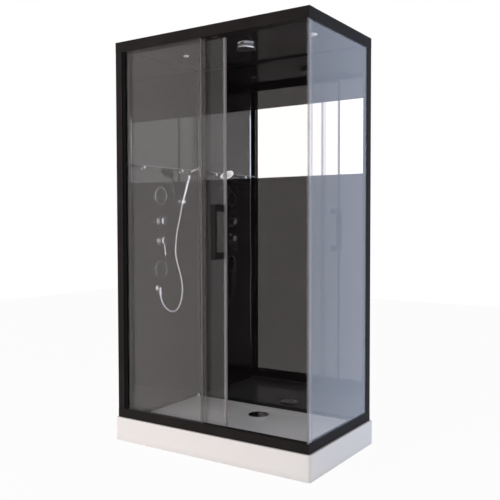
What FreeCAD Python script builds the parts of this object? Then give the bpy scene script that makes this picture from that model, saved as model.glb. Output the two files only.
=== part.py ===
import FreeCAD, Part
import math
import os

# Steam shower cabin with a sliding door, 1200 x 700 x 2140 mm.
# Frame: +X along the long front from left to right, +Y from the front to the back, +Z up.
# Origin: underside of the centre foot, in the middle of the tray. All lengths are in millimetres.

V = FreeCAD.Vector
os.makedirs("parts", exist_ok=True)

# ---------------------------------------------------------------- driving dimensions: overall
tray_length = 1200.0
tray_width = 700.0
tray_height = 125.0
cabin_height = 2140.0
frame_inset = 12.0

# ---------------------------------------------------------------- driving dimensions: profiles
profile_wall = 2.0
front_rail_depth = 50.0
top_rail_height = 54.0
bottom_rail_height = 47.0
side_rail_depth = 30.0
front_post_width = 43.0
back_post_width = 43.0
left_rail_depth = 12.0
back_rail_depth = 13.0
end_cap_thickness = 2.0
profile_corner_radius = 1.5
roof_lip_width = 8.0
roof_lip_thickness = 2.0

# ---------------------------------------------------------------- driving dimensions: glass and panels
glass_thickness = 6.0
panel_thickness = 6.0
roof_thickness = 4.0
roof_drop = 33.0
groove_depth = 14.0
groove_play = 0.5
side_groove_depth = 8.0
pane_head_gap = 2.0
fixed_track_inset = 12.0
door_track_inset = 36.0
side_pane_inset = 7.0
strip_thickness = 10.0
strip_depth = 14.0
strip_web = 4.0
mirror_low = 1437.0
mirror_height = 394.0
wall_channel_width = 22.0
wall_channel_depth = 16.0
wall_channel_web = 4.0
fixed_pane_end = -24.0

# ---------------------------------------------------------------- driving dimensions: tray and waste
tray_corner_radius = 14.0
tray_edge_radius = 5.0
tray_skin = 6.0
basin_gap = 2.0
basin_depth = 12.0
basin_corner_radius = 28.0
basin_draft = 5.0
floor_fall = 6.0
deck_thickness = 12.0
waste_x = 5.0
waste_y = 150.0
waste_flat = 130.0
waste_flat_corner_radius = 20.0
waste_hole_radius = 32.0
cover_radius = 57.5
cover_rise = 9.0
cover_sheet = 2.0
flange_radius = 52.0
flange_thickness = 2.0
trap_radius = 42.0
trap_wall = 2.5
trap_bottom = 18.0
outlet_radius = 20.0
outlet_height = 42.0
outlet_length = 50.0
outlet_undercut = 1.5
outlet_undercut_width = 5.0
apron_notch_width = 90.0
apron_notch_height = 72.0
frame_tube = 25.0
frame_tube_wall = 2.0
frame_side_gap = 81.5
frame_end_gap = 21.5
foot_step = 40.0
foot_pad_radius = 25.0
foot_pad_height = 8.0
foot_rod_radius = 6.0

# ---------------------------------------------------------------- driving dimensions: sliding door
door_left_gap = 20.0
door_overlap = 42.0
door_play = 1.0
door_head_gap = 2.0
door_foot_depth = 10.0
closing_strip_width = 8.0
door_profile_width = 12.0
door_profile_height = 10.0
door_profile_grip = 7.0
track_width = 20.0
track_height = 27.0
track_lip = 3.0
track_slot = 7.0
wheel_radius = 11.0
wheel_width = 5.5
wheel_gap = 0.3
axle_radius = 3.0
running_clearance = 0.05
hanger_thickness = 5.0
hanger_width = 36.0
hanger_head_radius = 8.0
hanger_inset = 60.0
stop_length = 24.0
stop_play = 0.5
guide_slot = 10.0
guide_length = 40.0
guide_width = 9.2
guide_depth = 4.0
seal_width = 12.0
leading_seal_nose = 6.0
trailing_seal_nose = 3.0
pane_seal_clip = 10.0
pane_seal_reach = 26.0
fin_thickness = 2.0

# ---------------------------------------------------------------- driving dimensions: door handle
handle_inset = 28.5
handle_width = 31.0
handle_low = 999.0
handle_length = 267.0
handle_bar = 15.0
handle_reach = 65.0
handle_block = 33.0
handle_edge_radius = 3.0
inner_cap_radius = 19.0
inner_cap_length = 27.0
handle_bolt_radius = 3.0
handle_bush_radius = 6.5

# ---------------------------------------------------------------- driving dimensions: wall fittings
column_y = -30.0
diverter_z = 1190.0
upper_jet_spacing = 144.0
mixer_spacing = 112.0
lower_jet_spacing = 278.0
outlet_spacing = 106.0
jet_radius = 49.0
jet_rise = 9.0
jet_neck_radius = 19.0
rosette_radius = 28.0
rosette_thickness = 3.5
knob_radius = 24.0
knob_length = 20.0
knob_standoff = 19.0
stem_radius = 5.0
lever_radius = 4.5
lever_length = 62.0
mixer_pin_radius = 2.0
body_wall_gap = 37.0
pipe_radius = 7.5
pipe_bore = 6.0
pipe_bend = 22.0
pipe_plane = 17.0
inlet_radius = 10.48
inlet_length = 10.0
inlet_undercut = 1.0
inlet_undercut_width = 1.5
inlet_spacing = 56.0
fitting_radius = 20.0
fitting_neck_radius = 12.0
outlet_tail_radius = 10.0
wall_hole_play = 3.0
mixer_port_reach = 32.0
diverter_port_reach = 30.0
diverter_side_reach = 34.0
jet_port_reach = 40.0
outlet_port_reach = 24.0
pipe_straight = 6.0
jet_line_offset = 66.0
riser_offset = 60.0
hose_outlet_y = -52.0
shelf_low = -281.0
shelf_high = 251.0
shelf_z = 1489.0
shelf_depth = 40.0
shelf_thickness = 6.0
shelf_corner_radius = 14.0
shelf_bracket_offset = 165.0
bracket_radius = 9.0
bracket_reach = 26.0
bracket_pad_radius = 8.0

# ---------------------------------------------------------------- driving dimensions: hand shower
foot_out = 16.3
foot_aside = 182.0
foot_rise = 102.0
handset_lean = 18.5
handset_turn = 13.0
head_out = 27.0
head_up = 201.0
head_angle = 38.5
head_radius = 45.0
head_depth = 16.5
nozzle_plate_radius = 29.5
nozzle_plate_rise = 1.2
grip_radius = 11.8
grip_end_radius = 9.0
neck_radius = 8.2
nut_small_radius = 8.5
nut_large_radius = 11.5
nut_length = 30.0
hose_radius = 7.0
holder_gap = 0.3
holder_wall = 6.0
holder_height = 16.0
holder_slot = 15.0

# ---------------------------------------------------------------- driving dimensions: ceiling fixtures
ceiling_row_x = 38.0
ceiling_row_y = -20.0
spot_spacing = 398.0
rain_radius = 56.0
rain_thickness = 18.0
spot_radius = 21.5
spot_rise = 6.0
head_pipe_z = 21.0
head_pipe_bend = 14.0
head_tail_rise = 4.0

# ---------------------------------------------------------------- places worked out from the sizes above
left = -tray_length / 2 + frame_inset
right = tray_length / 2 - frame_inset
front = -tray_width / 2 + frame_inset
back = tray_width / 2 - frame_inset
frame_tube_offset = tray_width / 2 - tray_skin - frame_side_gap - frame_tube / 2
frame_end_offset = tray_length / 2 - tray_skin - frame_end_gap - frame_tube / 2
foot_offset = frame_end_offset - foot_step
opening_low = tray_height + bottom_rail_height
opening_high = cabin_height - top_rail_height
rail_back = front + front_rail_depth
side_rail_inner = right - side_rail_depth
roof_top = cabin_height - roof_drop
roof_under = roof_top - roof_thickness
left_wall = left + front_post_width
left_wall_back = left_wall - panel_thickness
foot_x = left_wall + foot_out
foot_y = column_y + foot_aside
foot_z = diverter_z + foot_rise
back_wall_back = back - back_rail_depth
back_wall = back_wall_back - panel_thickness
fixed_y = front + fixed_track_inset
door_y = front + door_track_inset
side_pane_x = right - side_pane_inset
half_glass = glass_thickness / 2
half_groove = half_glass + groove_play
channel_right = left_wall + wall_channel_width
fixed_pane_left = left_wall + wall_channel_web
door_left = left_wall + door_left_gap
closed_edge = side_pane_x - half_glass - closing_strip_width - door_play - leading_seal_nose
door_right = door_left + closed_edge - fixed_pane_end + door_overlap
door_travel = closed_edge - door_right
door_top = opening_high - door_head_gap
glass_top = door_top - door_profile_height + door_profile_grip
door_bottom = opening_low - door_foot_depth
wheel_z = opening_high + track_lip + wheel_gap + wheel_radius
basin_floor = tray_height - basin_depth
waste_floor = basin_floor - floor_fall
deck_under = waste_floor - deck_thickness
back_post_front = back - back_post_width
handle_x = door_right - handle_inset
upper_jet_z = diverter_z + upper_jet_spacing
mixer_z = diverter_z - mixer_spacing
lower_jet_z = diverter_z - lower_jet_spacing
hose_outlet_z = lower_jet_z - outlet_spacing


# ---------------------------------------------------------------- shape helpers
def box(x0, x1, y0, y1, z0, z1):
    """A block between two corners."""
    return Part.makeBox(x1 - x0, y1 - y0, z1 - z0, V(x0, y0, z0))


def rod(radius, start, end):
    """A round bar from start to end."""
    a = V(*start)
    along = V(*end) - a
    return Part.makeCylinder(radius, along.Length, a, along)


def turned(profile, centre, axis=(0, 0, 1)):
    """A body of revolution about an axis through centre.

    profile lists (radius, height) points; (mid radius, mid height, end radius, end height) is an arc.
    """
    here = first = V(profile[0][0], 0, profile[0][1])
    edges = []
    for step in profile[1:] + [profile[0]]:
        there = V(step[-2], 0, step[-1])
        if len(step) == 4:
            edges.append(Part.Arc(here, V(step[0], 0, step[1]), there).toShape())
        elif there.distanceToPoint(here) > 1e-6:
            edges.append(Part.LineSegment(here, there).toShape())
        here = there
    solid = Part.Face(Part.Wire(edges)).revolve(V(0, 0, 0), V(0, 0, 1), 360)
    if solid.Volume < 0:
        solid.reverse()
    solid.Placement = FreeCAD.Placement(V(*centre), FreeCAD.Rotation(V(0, 0, 1), V(*axis)))
    return solid


def fuse(shapes):
    """One solid from several that touch or overlap."""
    whole = shapes[0]
    for shape in shapes[1:]:
        whole = whole.fuse(shape)
    return whole.removeSplitter()


def cut(shape, tools):
    """A shape with each tool taken out of it."""
    for tool in tools:
        shape = shape.cut(tool)
    return shape


def rounded_edges(shape, radius, chosen):
    """Fillets the edges for which chosen(edge) is true."""
    edges = [edge for edge in shape.Edges if chosen(edge)]
    return shape.makeFillet(radius, edges)


def runs_along(edge, axis):
    """True if a straight edge lies along x, y or z (axis 0, 1 or 2)."""
    if not isinstance(edge.Curve, Part.Line):
        return False
    return abs(abs(edge.Curve.Direction[axis]) - 1) < 1e-6


def long_bar(x0, x1, y0, y1, z0, z1, axis):
    """An extruded profile's outside, with its four long edges eased."""
    bar = box(x0, x1, y0, y1, z0, z1)
    return rounded_edges(bar, profile_corner_radius, lambda edge: runs_along(edge, axis))


def rounded_outline(x0, x1, y0, y1, z, radius):
    """A horizontal rectangle with round corners, as a wire."""
    k = radius * (1 - math.sqrt(0.5))
    corners = [(x1, y0, 1, -1), (x1, y1, 1, 1), (x0, y1, -1, 1), (x0, y0, -1, -1)]
    edges = []
    starts = []
    for x, y, sx, sy in corners:
        middle = V(x - sx * k, y - sy * k, z)
        along_y = V(x, y - sy * radius, z)
        along_x = V(x - sx * radius, y, z)
        first, last = (along_x, along_y) if sx * sy < 0 else (along_y, along_x)
        starts.append((first, middle, last))
    for i, (first, middle, last) in enumerate(starts):
        edges.append(Part.Arc(first, middle, last).toShape())
        edges.append(Part.LineSegment(last, starts[(i + 1) % 4][0]).toShape())
    return Part.Wire(edges)


def bent_path(points, radius):
    """A wire of straight runs joined by tangent arcs. radius is one number or one per inner point."""
    points = [V(*p) for p in points]
    radii = radius if isinstance(radius, list) else [radius] * (len(points) - 2)
    edges = []
    here = points[0]
    for i in range(1, len(points) - 1):
        before = (points[i] - points[i - 1]).normalize()
        after = (points[i + 1] - points[i]).normalize()
        half = before.getAngle(after) / 2
        setback = radii[i - 1] * math.tan(half)
        arc_start = points[i] - before * setback
        arc_end = points[i] + after * setback
        inward = (after - before).normalize()
        arc_middle = points[i] + inward * (radii[i - 1] / math.cos(half) - radii[i - 1])
        if (arc_start - here).Length > 1e-3:
            edges.append(Part.LineSegment(here, arc_start).toShape())
        edges.append(Part.Arc(arc_start, arc_middle, arc_end).toShape())
        here = arc_end
    edges.append(Part.LineSegment(here, points[-1]).toShape())
    return Part.Wire(edges)


def swept(path, radius):
    """A round section carried along a wire."""
    first = path.OrderedEdges[0]
    start = first.valueAt(first.FirstParameter)
    along = first.tangentAt(first.FirstParameter)
    if path.OrderedVertexes[0].Point.distanceToPoint(start) > 1e-6:
        start = first.valueAt(first.LastParameter)
        along = first.tangentAt(first.LastParameter) * -1
    section = Part.Wire(Part.makeCircle(radius, start, along))
    return path.makePipeShell([section], True, False)


def pipe(points, radii=pipe_bend):
    """A bent water pipe with its bore."""
    path = bent_path(points, radii)
    return swept(path, pipe_radius).cut(swept(path, pipe_bore))


def save(name, shape):
    """Writes one sub-part, after seeing that it is made of closed solids."""
    if not shape.isValid() or not shape.Solids:
        print("PROBLEM", name, "valid", shape.isValid(), "solids", len(shape.Solids))
    if len(shape.Solids) == 1:
        shape = shape.Solids[0]
    shape.exportStep("parts/" + name + ".step")
    b = shape.BoundBox
    print(f"{name:22s} solids {len(shape.Solids):2d}  volume {shape.Volume / 1000:9.2f} cm3")
    print(f"    x {b.XMin:8.1f} {b.XMax:8.1f}  y {b.YMin:8.1f} {b.YMax:8.1f}  z {b.ZMin:8.1f} {b.ZMax:8.1f}")


# ---------------------------------------------------------------- shower tray
def shower_tray():
    """Moulded tray: apron down to the floor, shallow basin that falls to the waste, open underneath."""
    x, y = tray_length / 2, tray_width / 2
    body = Part.Face(rounded_outline(-x, x, -y, y, 0, tray_corner_radius))
    body = body.extrude(V(0, 0, tray_height))
    body = rounded_edges(
        body, tray_edge_radius, lambda edge: edge.BoundBox.ZMin > tray_height - 0.01
    )
    bx0, bx1 = left_wall + basin_gap, side_rail_inner - basin_gap
    by0, by1 = rail_back + basin_gap, back_wall - basin_gap
    d = basin_draft
    upper = rounded_outline(bx0, bx1, by0, by1, tray_height, basin_corner_radius)
    lower = rounded_outline(bx0 + d, bx1 - d, by0 + d, by1 - d, basin_floor, basin_corner_radius - d)
    basin = Part.makeLoft([lower, upper], True, True)
    w = waste_flat / 2
    flat = rounded_outline(
        waste_x - w, waste_x + w, waste_y - w, waste_y + w, waste_floor, waste_flat_corner_radius
    )
    falls = Part.makeLoft([flat, lower], True, True)
    hollow = box(-x + tray_skin, x - tray_skin, -y + tray_skin, y - tray_skin, 0, deck_under)
    waste_hole = rod(waste_hole_radius, (waste_x, waste_y, deck_under), (waste_x, waste_y, waste_floor))
    n = apron_notch_width / 2
    notch = box(waste_x - n, waste_x + n, y - tray_skin, y, 0, apron_notch_height)
    save("shower_tray", cut(body, [basin.fuse(falls), hollow, waste_hole, notch]))


# ---------------------------------------------------------------- frame and feet under the tray
def foot_places():
    """Corner feet, one under the middle of the front and one under the centre."""
    y = frame_tube_offset
    return [
        (-foot_offset, -y),
        (0.0, -y),
        (foot_offset, -y),
        (0.0, 0.0),
        (-foot_offset, y),
        (foot_offset, y),
    ]


def tray_frame():
    """Square tubes under the deck: three runners between two end bearers, drilled for the feet."""
    t = frame_tube / 2
    w = frame_tube_wall
    low, high = deck_under - frame_tube, deck_under
    run = frame_end_offset - t
    reach = frame_tube_offset + t
    holes = [rod(foot_rod_radius, (x, y, low), (x, y, low + w)) for x, y in foot_places()]
    tubes = []
    for y in (-frame_tube_offset, 0.0, frame_tube_offset):
        outer = box(-run, run, y - t, y + t, low, high)
        inner = box(-run, run, y - t + w, y + t - w, low + w, high - w)
        tubes.append(cut(outer, [inner] + holes))
    for x in (-frame_end_offset, frame_end_offset):
        outer = box(x - t, x + t, -reach, reach, low, high)
        inner = box(x - t + w, x + t - w, -reach, reach, low + w, high - w)
        tubes.append(outer.cut(inner))
    save("tray_frame", Part.makeCompound(tubes))


def tray_feet():
    """Adjustable feet: pad, threaded rod and the nut that bears under the tube."""
    low = deck_under - frame_tube
    nut_height = 6.0
    nut_radius = 10.5
    feet = []
    for x, y in foot_places():
        pad = turned(
            [
                (0, 0),
                (foot_pad_radius, 0),
                (foot_pad_radius, foot_pad_height / 2),
                (foot_rod_radius + 5, foot_pad_height),
                (0, foot_pad_height),
            ],
            (x, y, 0),
        )
        stem = rod(foot_rod_radius, (x, y, foot_pad_height / 2), (x, y, low + 3 * frame_tube_wall))
        angles = [math.radians(60 * i) for i in range(7)]
        corners = [V(x + nut_radius * math.cos(a), y + nut_radius * math.sin(a), 0) for a in angles]
        nut = Part.Face(Part.makePolygon(corners)).extrude(V(0, 0, nut_height))
        nut.translate(V(0, 0, low - nut_height))
        feet.append(fuse([pad, stem, nut]))
    save("tray_feet", Part.makeCompound(feet))


# ---------------------------------------------------------------- waste
def drain_trap():
    """Cup-shaped trap clamped under the deck, with a side outlet for the waste pipe."""
    top = deck_under
    clamp = waste_hole_radius - 0.7
    cup = turned(
        [
            (0, trap_bottom),
            (trap_radius - 6, trap_bottom),
            (trap_radius, trap_bottom + 6),
            (trap_radius, top - 6),
            (trap_radius + 8, top - 5),
            (trap_radius + 8, top),
            (clamp, top),
            (clamp, top - 5),
            (trap_radius - trap_wall, top - 8),
            (trap_radius - trap_wall, trap_bottom + 7),
            (trap_radius - 7, trap_bottom + trap_wall),
            (0, trap_bottom + trap_wall),
        ],
        (waste_x, waste_y, 0),
    )
    outer_wall = waste_y + trap_radius
    mouth = outer_wall + outlet_length
    root = outer_wall + outlet_undercut_width
    axis = (waste_x, waste_y, outlet_height)
    stub = fuse(
        [
            rod(outlet_radius - outlet_undercut, axis, (waste_x, root, outlet_height)),
            rod(outlet_radius, (waste_x, root, outlet_height), (waste_x, mouth, outlet_height)),
        ]
    )
    floor = trap_bottom + trap_wall
    well = rod(trap_radius - trap_wall, (waste_x, waste_y, floor), (waste_x, waste_y, top - 8))
    bore = rod(outlet_radius - outlet_undercut - trap_wall, axis, (waste_x, mouth, outlet_height))
    save("drain_trap", cut(fuse([cup, stub.cut(well)]), [bore]))


def drain_flange():
    """Metal ring on the basin floor, with the sleeve that screws down into the trap."""
    outer = waste_hole_radius - 1.0
    bore = outer - 3.0
    ring = turned(
        [
            (bore, deck_under - 11),
            (outer, deck_under - 11),
            (outer, waste_floor),
            (flange_radius, waste_floor),
            (flange_radius - 1, waste_floor + flange_thickness),
            (bore, waste_floor + flange_thickness),
        ],
        (waste_x, waste_y, 0),
    )
    save("drain_flange", ring)


def drain_cover():
    """Domed cover that lifts off: rolled rim, four rest lugs and four locating fingers."""
    seat = waste_floor + flange_thickness
    rim = seat + 1.5
    crown = seat + cover_rise
    r = cover_radius
    lug_radius = 40.0
    finger_radius = waste_hole_radius - 4.0 - 4.0
    dome = turned(
        [
            (0, crown),
            (r * 0.45, crown - 0.6),
            (r * 0.75, crown - 1.9),
            (r * 0.92, crown - 3.6),
            (r, rim + 1.2),
            (r, rim),
            (r - 2.5, rim),
            (r * 0.75, crown - 1.9 - cover_sheet),
            (r * 0.45, crown - 0.6 - cover_sheet),
            (0, crown - cover_sheet),
        ],
        (waste_x, waste_y, 0),
    )
    pieces = [dome]
    for i in range(4):
        angle = math.radians(90 * i)
        c, s = math.cos(angle), math.sin(angle)
        lug = (waste_x + lug_radius * c, waste_y + lug_radius * s)
        finger = (waste_x + finger_radius * c, waste_y + finger_radius * s)
        pieces.append(rod(4.0, (*lug, seat), (*lug, crown - 3.0)))
        pieces.append(rod(3.0, (*finger, seat - 12), (*finger, crown - 1.5)))
    save("drain_cover", fuse(pieces))


# ---------------------------------------------------------------- posts and rails
def front_left_post():
    """Box profile at the front left corner, between the two front rails."""
    w = profile_wall
    post = long_bar(left, left_wall, front, rail_back, opening_low, opening_high, 2)
    inside = box(left + w, left_wall - w, front + w, rail_back - w, opening_low, opening_high)
    save("front_left_post", post.cut(inside))


def back_left_post():
    """Box profile behind the corner of the two black walls."""
    w = profile_wall
    y0 = back - front_rail_depth
    post = long_bar(left, left_wall_back, y0, back, tray_height, cabin_height, 2)
    inside = box(left + w, left_wall_back - w, y0 + w, back - w, tray_height, cabin_height)
    save("back_left_post", post.cut(inside))


def back_right_post():
    """Box profile at the back right corner, grooved for the side pane."""
    w = profile_wall
    grip = side_groove_depth
    post = long_bar(side_rail_inner, right, back_post_front, back, opening_low, opening_high, 2)
    groove = box(
        side_pane_x - half_groove,
        side_pane_x + half_groove,
        back_post_front,
        back_post_front + grip,
        opening_low,
        opening_high,
    )
    core_y = back_post_front + grip + w
    inside = box(side_rail_inner + w, right - w, core_y, back - w, opening_low, opening_high)
    save("back_right_post", cut(post, [groove, inside]))


def rail_ends():
    """Where the front rails start and stop, inside their end caps."""
    return left + end_cap_thickness, right - end_cap_thickness


def top_front_rail():
    """Head rail: groove for the fixed pane, C-shaped track for the door's wheels, lip for the roof."""
    w = profile_wall
    x0, x1 = rail_ends()
    bar = long_bar(x0, x1, front, rail_back, opening_high, cabin_height, 0)
    track_low = opening_high + track_lip
    track_high = track_low + track_height
    groove_top = opening_high + groove_depth
    t = track_width / 2
    s = track_slot / 2
    hollows = [
        box(x0, x1, front + w, rail_back - w, track_high + w, cabin_height - w),
        box(x0, x1, door_y - t, door_y + t, track_low, track_high),
        box(x0, x1, door_y - s, door_y + s, opening_high, track_low),
        box(x0, x1, fixed_y - half_groove, fixed_y + half_groove, opening_high, groove_top),
        box(x0, x1, front + w, door_y - t - w, groove_top + w, track_high),
    ]
    lip = box(
        left_wall,
        side_rail_inner,
        rail_back - 0.5,
        rail_back + roof_lip_width,
        roof_under - roof_lip_thickness,
        roof_under,
    )
    save("top_front_rail", fuse([cut(bar, hollows), lip]))


def bottom_front_rail():
    """Sill rail: groove for the fixed pane, groove that guides the door, lower inner wall to drain."""
    w = profile_wall
    x0, x1 = rail_ends()
    bar = long_bar(x0, x1, front, rail_back, tray_height, opening_low, 0)
    g = guide_slot / 2
    drain_step = 6.0
    groove_floor = opening_low - groove_depth
    guide_floor = groove_floor - w
    hollows = [
        box(x0, x1, front + w, rail_back - w, tray_height + w, guide_floor - w - 4),
        box(x0, x1, fixed_y - half_groove, fixed_y + half_groove, groove_floor, opening_low),
        box(x0, x1, door_y - g, door_y + g, guide_floor, opening_low),
        box(x0, x1, door_y + g, rail_back, opening_low - drain_step, opening_low),
    ]
    save("bottom_front_rail", cut(bar, hollows))


def top_right_rail():
    """Side head rail: groove for the side pane and a lip for the roof."""
    w = profile_wall
    bar = long_bar(side_rail_inner, right, rail_back, back, opening_high, cabin_height, 1)
    groove_top = opening_high + groove_depth
    grip = back_post_front + groove_depth - w
    g0, g1 = side_pane_x - half_groove, side_pane_x + half_groove
    groove = box(g0, g1, rail_back, grip, opening_high, groove_top)
    inside = box(side_rail_inner + w, right - w, rail_back, back - w, groove_top + w, cabin_height - w)
    lip = box(
        side_rail_inner - roof_lip_width,
        side_rail_inner + 0.5,
        rail_back + roof_lip_width,
        back_wall,
        roof_under - roof_lip_thickness,
        roof_under,
    )
    save("top_right_rail", fuse([cut(bar, [groove, inside]), lip]))


def bottom_right_rail():
    """Side sill rail with the groove that the side pane stands in."""
    w = profile_wall
    bar = long_bar(side_rail_inner, right, rail_back, back, tray_height, opening_low, 1)
    groove_floor = opening_low - groove_depth
    grip = back_post_front + groove_depth - w
    g0, g1 = side_pane_x - half_groove, side_pane_x + half_groove
    groove = box(g0, g1, rail_back, grip, groove_floor, opening_low)
    inside = box(side_rail_inner + w, right - w, rail_back, back - w, tray_height + w, groove_floor - w)
    save("bottom_right_rail", cut(bar, [groove, inside]))


def flat_tube(x0, x1, y0, y1, z0, z1, axis):
    """A flat box tube that runs along x (axis 0) or y (axis 1), open at its ends."""
    w = profile_wall
    bar = box(x0, x1, y0, y1, z0, z1)
    if axis == 0:
        inside = box(x0, x1, y0 + w, y1 - w, z0 + w, z1 - w)
    else:
        inside = box(x0 + w, x1 - w, y0, y1, z0 + w, z1 - w)
    return bar.cut(inside)


def wall_rails():
    """Flat tubes behind the two black walls, at the head and at the sill."""
    back_post_y = back - front_rail_depth
    tubes = []
    for z0, z1 in ((opening_high, cabin_height), (tray_height, opening_low)):
        tubes.append(flat_tube(left_wall_back, side_rail_inner, back_wall_back, back, z0, z1, 0))
        tubes.append(flat_tube(left, left + left_rail_depth, rail_back, back_post_y, z0, z1, 1))
    save("wall_rails", Part.makeCompound(tubes))


def rail_end_caps():
    """Plates that close the four ends of the front rails."""
    def along_x(edge):
        return runs_along(edge, 0)

    caps = []
    for x in (left, right - end_cap_thickness):
        for z0, z1 in ((tray_height, opening_low), (opening_high, cabin_height)):
            plate = box(x, x + end_cap_thickness, front, rail_back, z0, z1)
            caps.append(rounded_edges(plate, profile_corner_radius, along_x))
    save("rail_end_caps", Part.makeCompound(caps))


def wall_channel():
    """Black channel beside the front left post, which grips the fixed pane."""
    half = wall_channel_depth / 2
    body = box(left_wall, channel_right, fixed_y - half, fixed_y + half, opening_low, opening_high)
    groove = box(
        fixed_pane_left,
        channel_right,
        fixed_y - half_groove,
        fixed_y + half_groove,
        opening_low,
        opening_high,
    )
    save("wall_channel", body.cut(groove))


# ---------------------------------------------------------------- walls, roof and fixed glass
def fitting_holes():
    """Round holes through the left wall: (y, z, radius)."""
    return [
        (column_y, upper_jet_z, jet_neck_radius + wall_hole_play),
        (column_y, lower_jet_z, jet_neck_radius + wall_hole_play),
        (column_y, diverter_z, fitting_neck_radius + wall_hole_play),
        (column_y, mixer_z, fitting_neck_radius + wall_hole_play),
        (hose_outlet_y, hose_outlet_z, outlet_tail_radius + wall_hole_play),
    ]


def left_wall_panel():
    """Black glass wall that carries the fittings."""
    panel = box(left_wall_back, left_wall, rail_back, back_wall, tray_height, roof_under)
    holes = [rod(r, (left_wall_back, y, z), (left_wall, y, z)) for y, z, r in fitting_holes()]
    save("left_wall_panel", cut(panel, holes))


def back_wall_panels():
    """Black glass below and above, and the mirror strip between them."""
    mirror_top = mirror_low + mirror_height
    bands = []
    for z0, z1 in ((tray_height, mirror_low), (mirror_top, roof_under), (mirror_low, mirror_top)):
        bands.append(box(left_wall_back, side_rail_inner, back_wall, back_wall_back, z0, z1))
    save("back_wall_panels", Part.makeCompound(bands[:2]))
    save("mirror_strip", bands[2])


def roof_panel():
    """Black roof sheet, drilled for the rain head and the two spots."""
    sheet = box(left_wall_back, side_rail_inner, rail_back, back_wall_back, roof_under, roof_top)
    x, y = ceiling_row_x, ceiling_row_y
    holes = [rod(pipe_radius + 3, (x, y, roof_under), (x, y, roof_top))]
    for side in (-1, 1):
        sx = x + side * spot_spacing
        holes.append(rod(spot_radius - 5, (sx, y, roof_under), (sx, y, roof_top)))
    save("roof_panel", cut(sheet, holes))


def fixed_front_pane():
    """Fixed clear pane on the left half of the front, held by the rails and the wall channel."""
    pane = box(
        fixed_pane_left,
        fixed_pane_end,
        fixed_y - half_glass,
        fixed_y + half_glass,
        opening_low,
        opening_high + groove_depth - pane_head_gap,
    )
    foot = box(
        fixed_pane_left,
        fixed_pane_end,
        fixed_y - half_glass,
        fixed_y + half_glass,
        opening_low - groove_depth,
        opening_low,
    )
    save("fixed_front_pane", fuse([pane, foot]))


def fixed_pane_seal():
    """Tinted strip on the fixed pane's free edge: a clip over the edge and a fin towards the door."""
    half = half_glass + fin_thickness
    x0, x1 = fixed_pane_end - pane_seal_clip, fixed_pane_end + fin_thickness
    z0, z1 = opening_low, opening_high
    jaw = box(x0, x1, fixed_y - half, fixed_y + half, z0, z1)
    slot = box(x0, fixed_pane_end, fixed_y - half_glass, fixed_y + half_glass, z0, z1)
    fin_y = fixed_y + half
    fin = box(fixed_pane_end, fixed_pane_end + pane_seal_reach, fin_y - fin_thickness, fin_y, z0, z1)
    save("fixed_pane_seal", fuse([jaw.cut(slot), fin]))


def side_pane():
    """Clear pane on the right side: it runs forward past the rails to the front corner."""
    x0, x1 = side_pane_x - half_glass, side_pane_x + half_glass
    end = back_post_front + side_groove_depth
    head = opening_high + groove_depth - pane_head_gap
    tall = box(x0, x1, rail_back, end, opening_low - groove_depth, head)
    corner = box(x0, x1, front + strip_web, rail_back, opening_low, opening_high)
    save("side_pane", fuse([tall, corner]))


def corner_edge_strip():
    """Pale strip clipped over the front edge of the side pane."""
    z0, z1 = opening_low, opening_high
    half = strip_thickness / 2
    web = front + strip_web
    jaw = box(side_pane_x - half, side_pane_x + half, front, front + strip_depth, z0, z1)
    slot = box(side_pane_x - half_glass, side_pane_x + half_glass, web, front + strip_depth, z0, z1)
    save("corner_edge_strip", jaw.cut(slot))


def closing_strip():
    """Strip inside the side pane that the closed door's edge meets."""
    pane_face = side_pane_x - half_glass
    nose = pane_face - closing_strip_width
    half = door_profile_width / 2
    save("closing_strip", box(nose, pane_face, door_y - half, door_y + half, opening_low, opening_high))


# ---------------------------------------------------------------- sliding door
def hanger_places():
    """Where the two hangers stand on the door, at rest."""
    return {"left": door_left + hanger_inset, "right": door_right - hanger_inset}


def handle_bolt_places():
    """Heights of the handle's two bolts."""
    return handle_low + handle_block / 2, handle_low + handle_length - handle_block / 2


def door_glass():
    """Sliding pane, drilled for the handle."""
    y0, y1 = door_y - half_glass, door_y + half_glass
    pane = box(door_left, door_right, y0, y1, door_bottom, glass_top)
    holes = [rod(handle_bush_radius, (handle_x, y0, z), (handle_x, y1, z)) for z in handle_bolt_places()]
    save("door_glass", cut(pane, holes))


def door_top_profile():
    """Slim channel over the top edge of the door, which the hangers carry."""
    half = door_profile_width / 2
    z0 = door_top - door_profile_height
    body = box(door_left, door_right, door_y - half, door_y + half, z0, door_top)
    groove = box(door_left, door_right, door_y - half_glass, door_y + half_glass, z0, glass_top)
    save("door_top_profile", body.cut(groove))


def door_hangers():
    """Plates that stand through the track's slot, narrow above it, and carry one pair of wheels each."""
    y = door_y - hanger_thickness / 2
    through = V(0, hanger_thickness, 0)
    head = hanger_head_radius
    waist = wheel_radius - stop_play
    track_floor = opening_high + track_lip
    hangers = []
    for x in hanger_places().values():
        w = hanger_width / 2
        outline = Part.makePolygon(
            [
                V(x - w, y, door_top),
                V(x + w, y, door_top),
                V(x + w, y, opening_high - stop_play),
                V(x + waist, y, track_floor - stop_play),
                V(x + head, y, wheel_z),
                V(x - head, y, wheel_z),
                V(x - waist, y, track_floor - stop_play),
                V(x - w, y, opening_high - stop_play),
                V(x - w, y, door_top),
            ]
        )
        plate = Part.Face(outline).extrude(through)
        crown = rod(head, (x, y, wheel_z), (x, y + hanger_thickness, wheel_z))
        bearing_radius = axle_radius + running_clearance
        bearing = rod(bearing_radius, (x, y, wheel_z), (x, y + hanger_thickness, wheel_z))
        hangers.append(fuse([plate, crown]).cut(bearing))
    save("door_hangers", Part.makeCompound(hangers))


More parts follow.
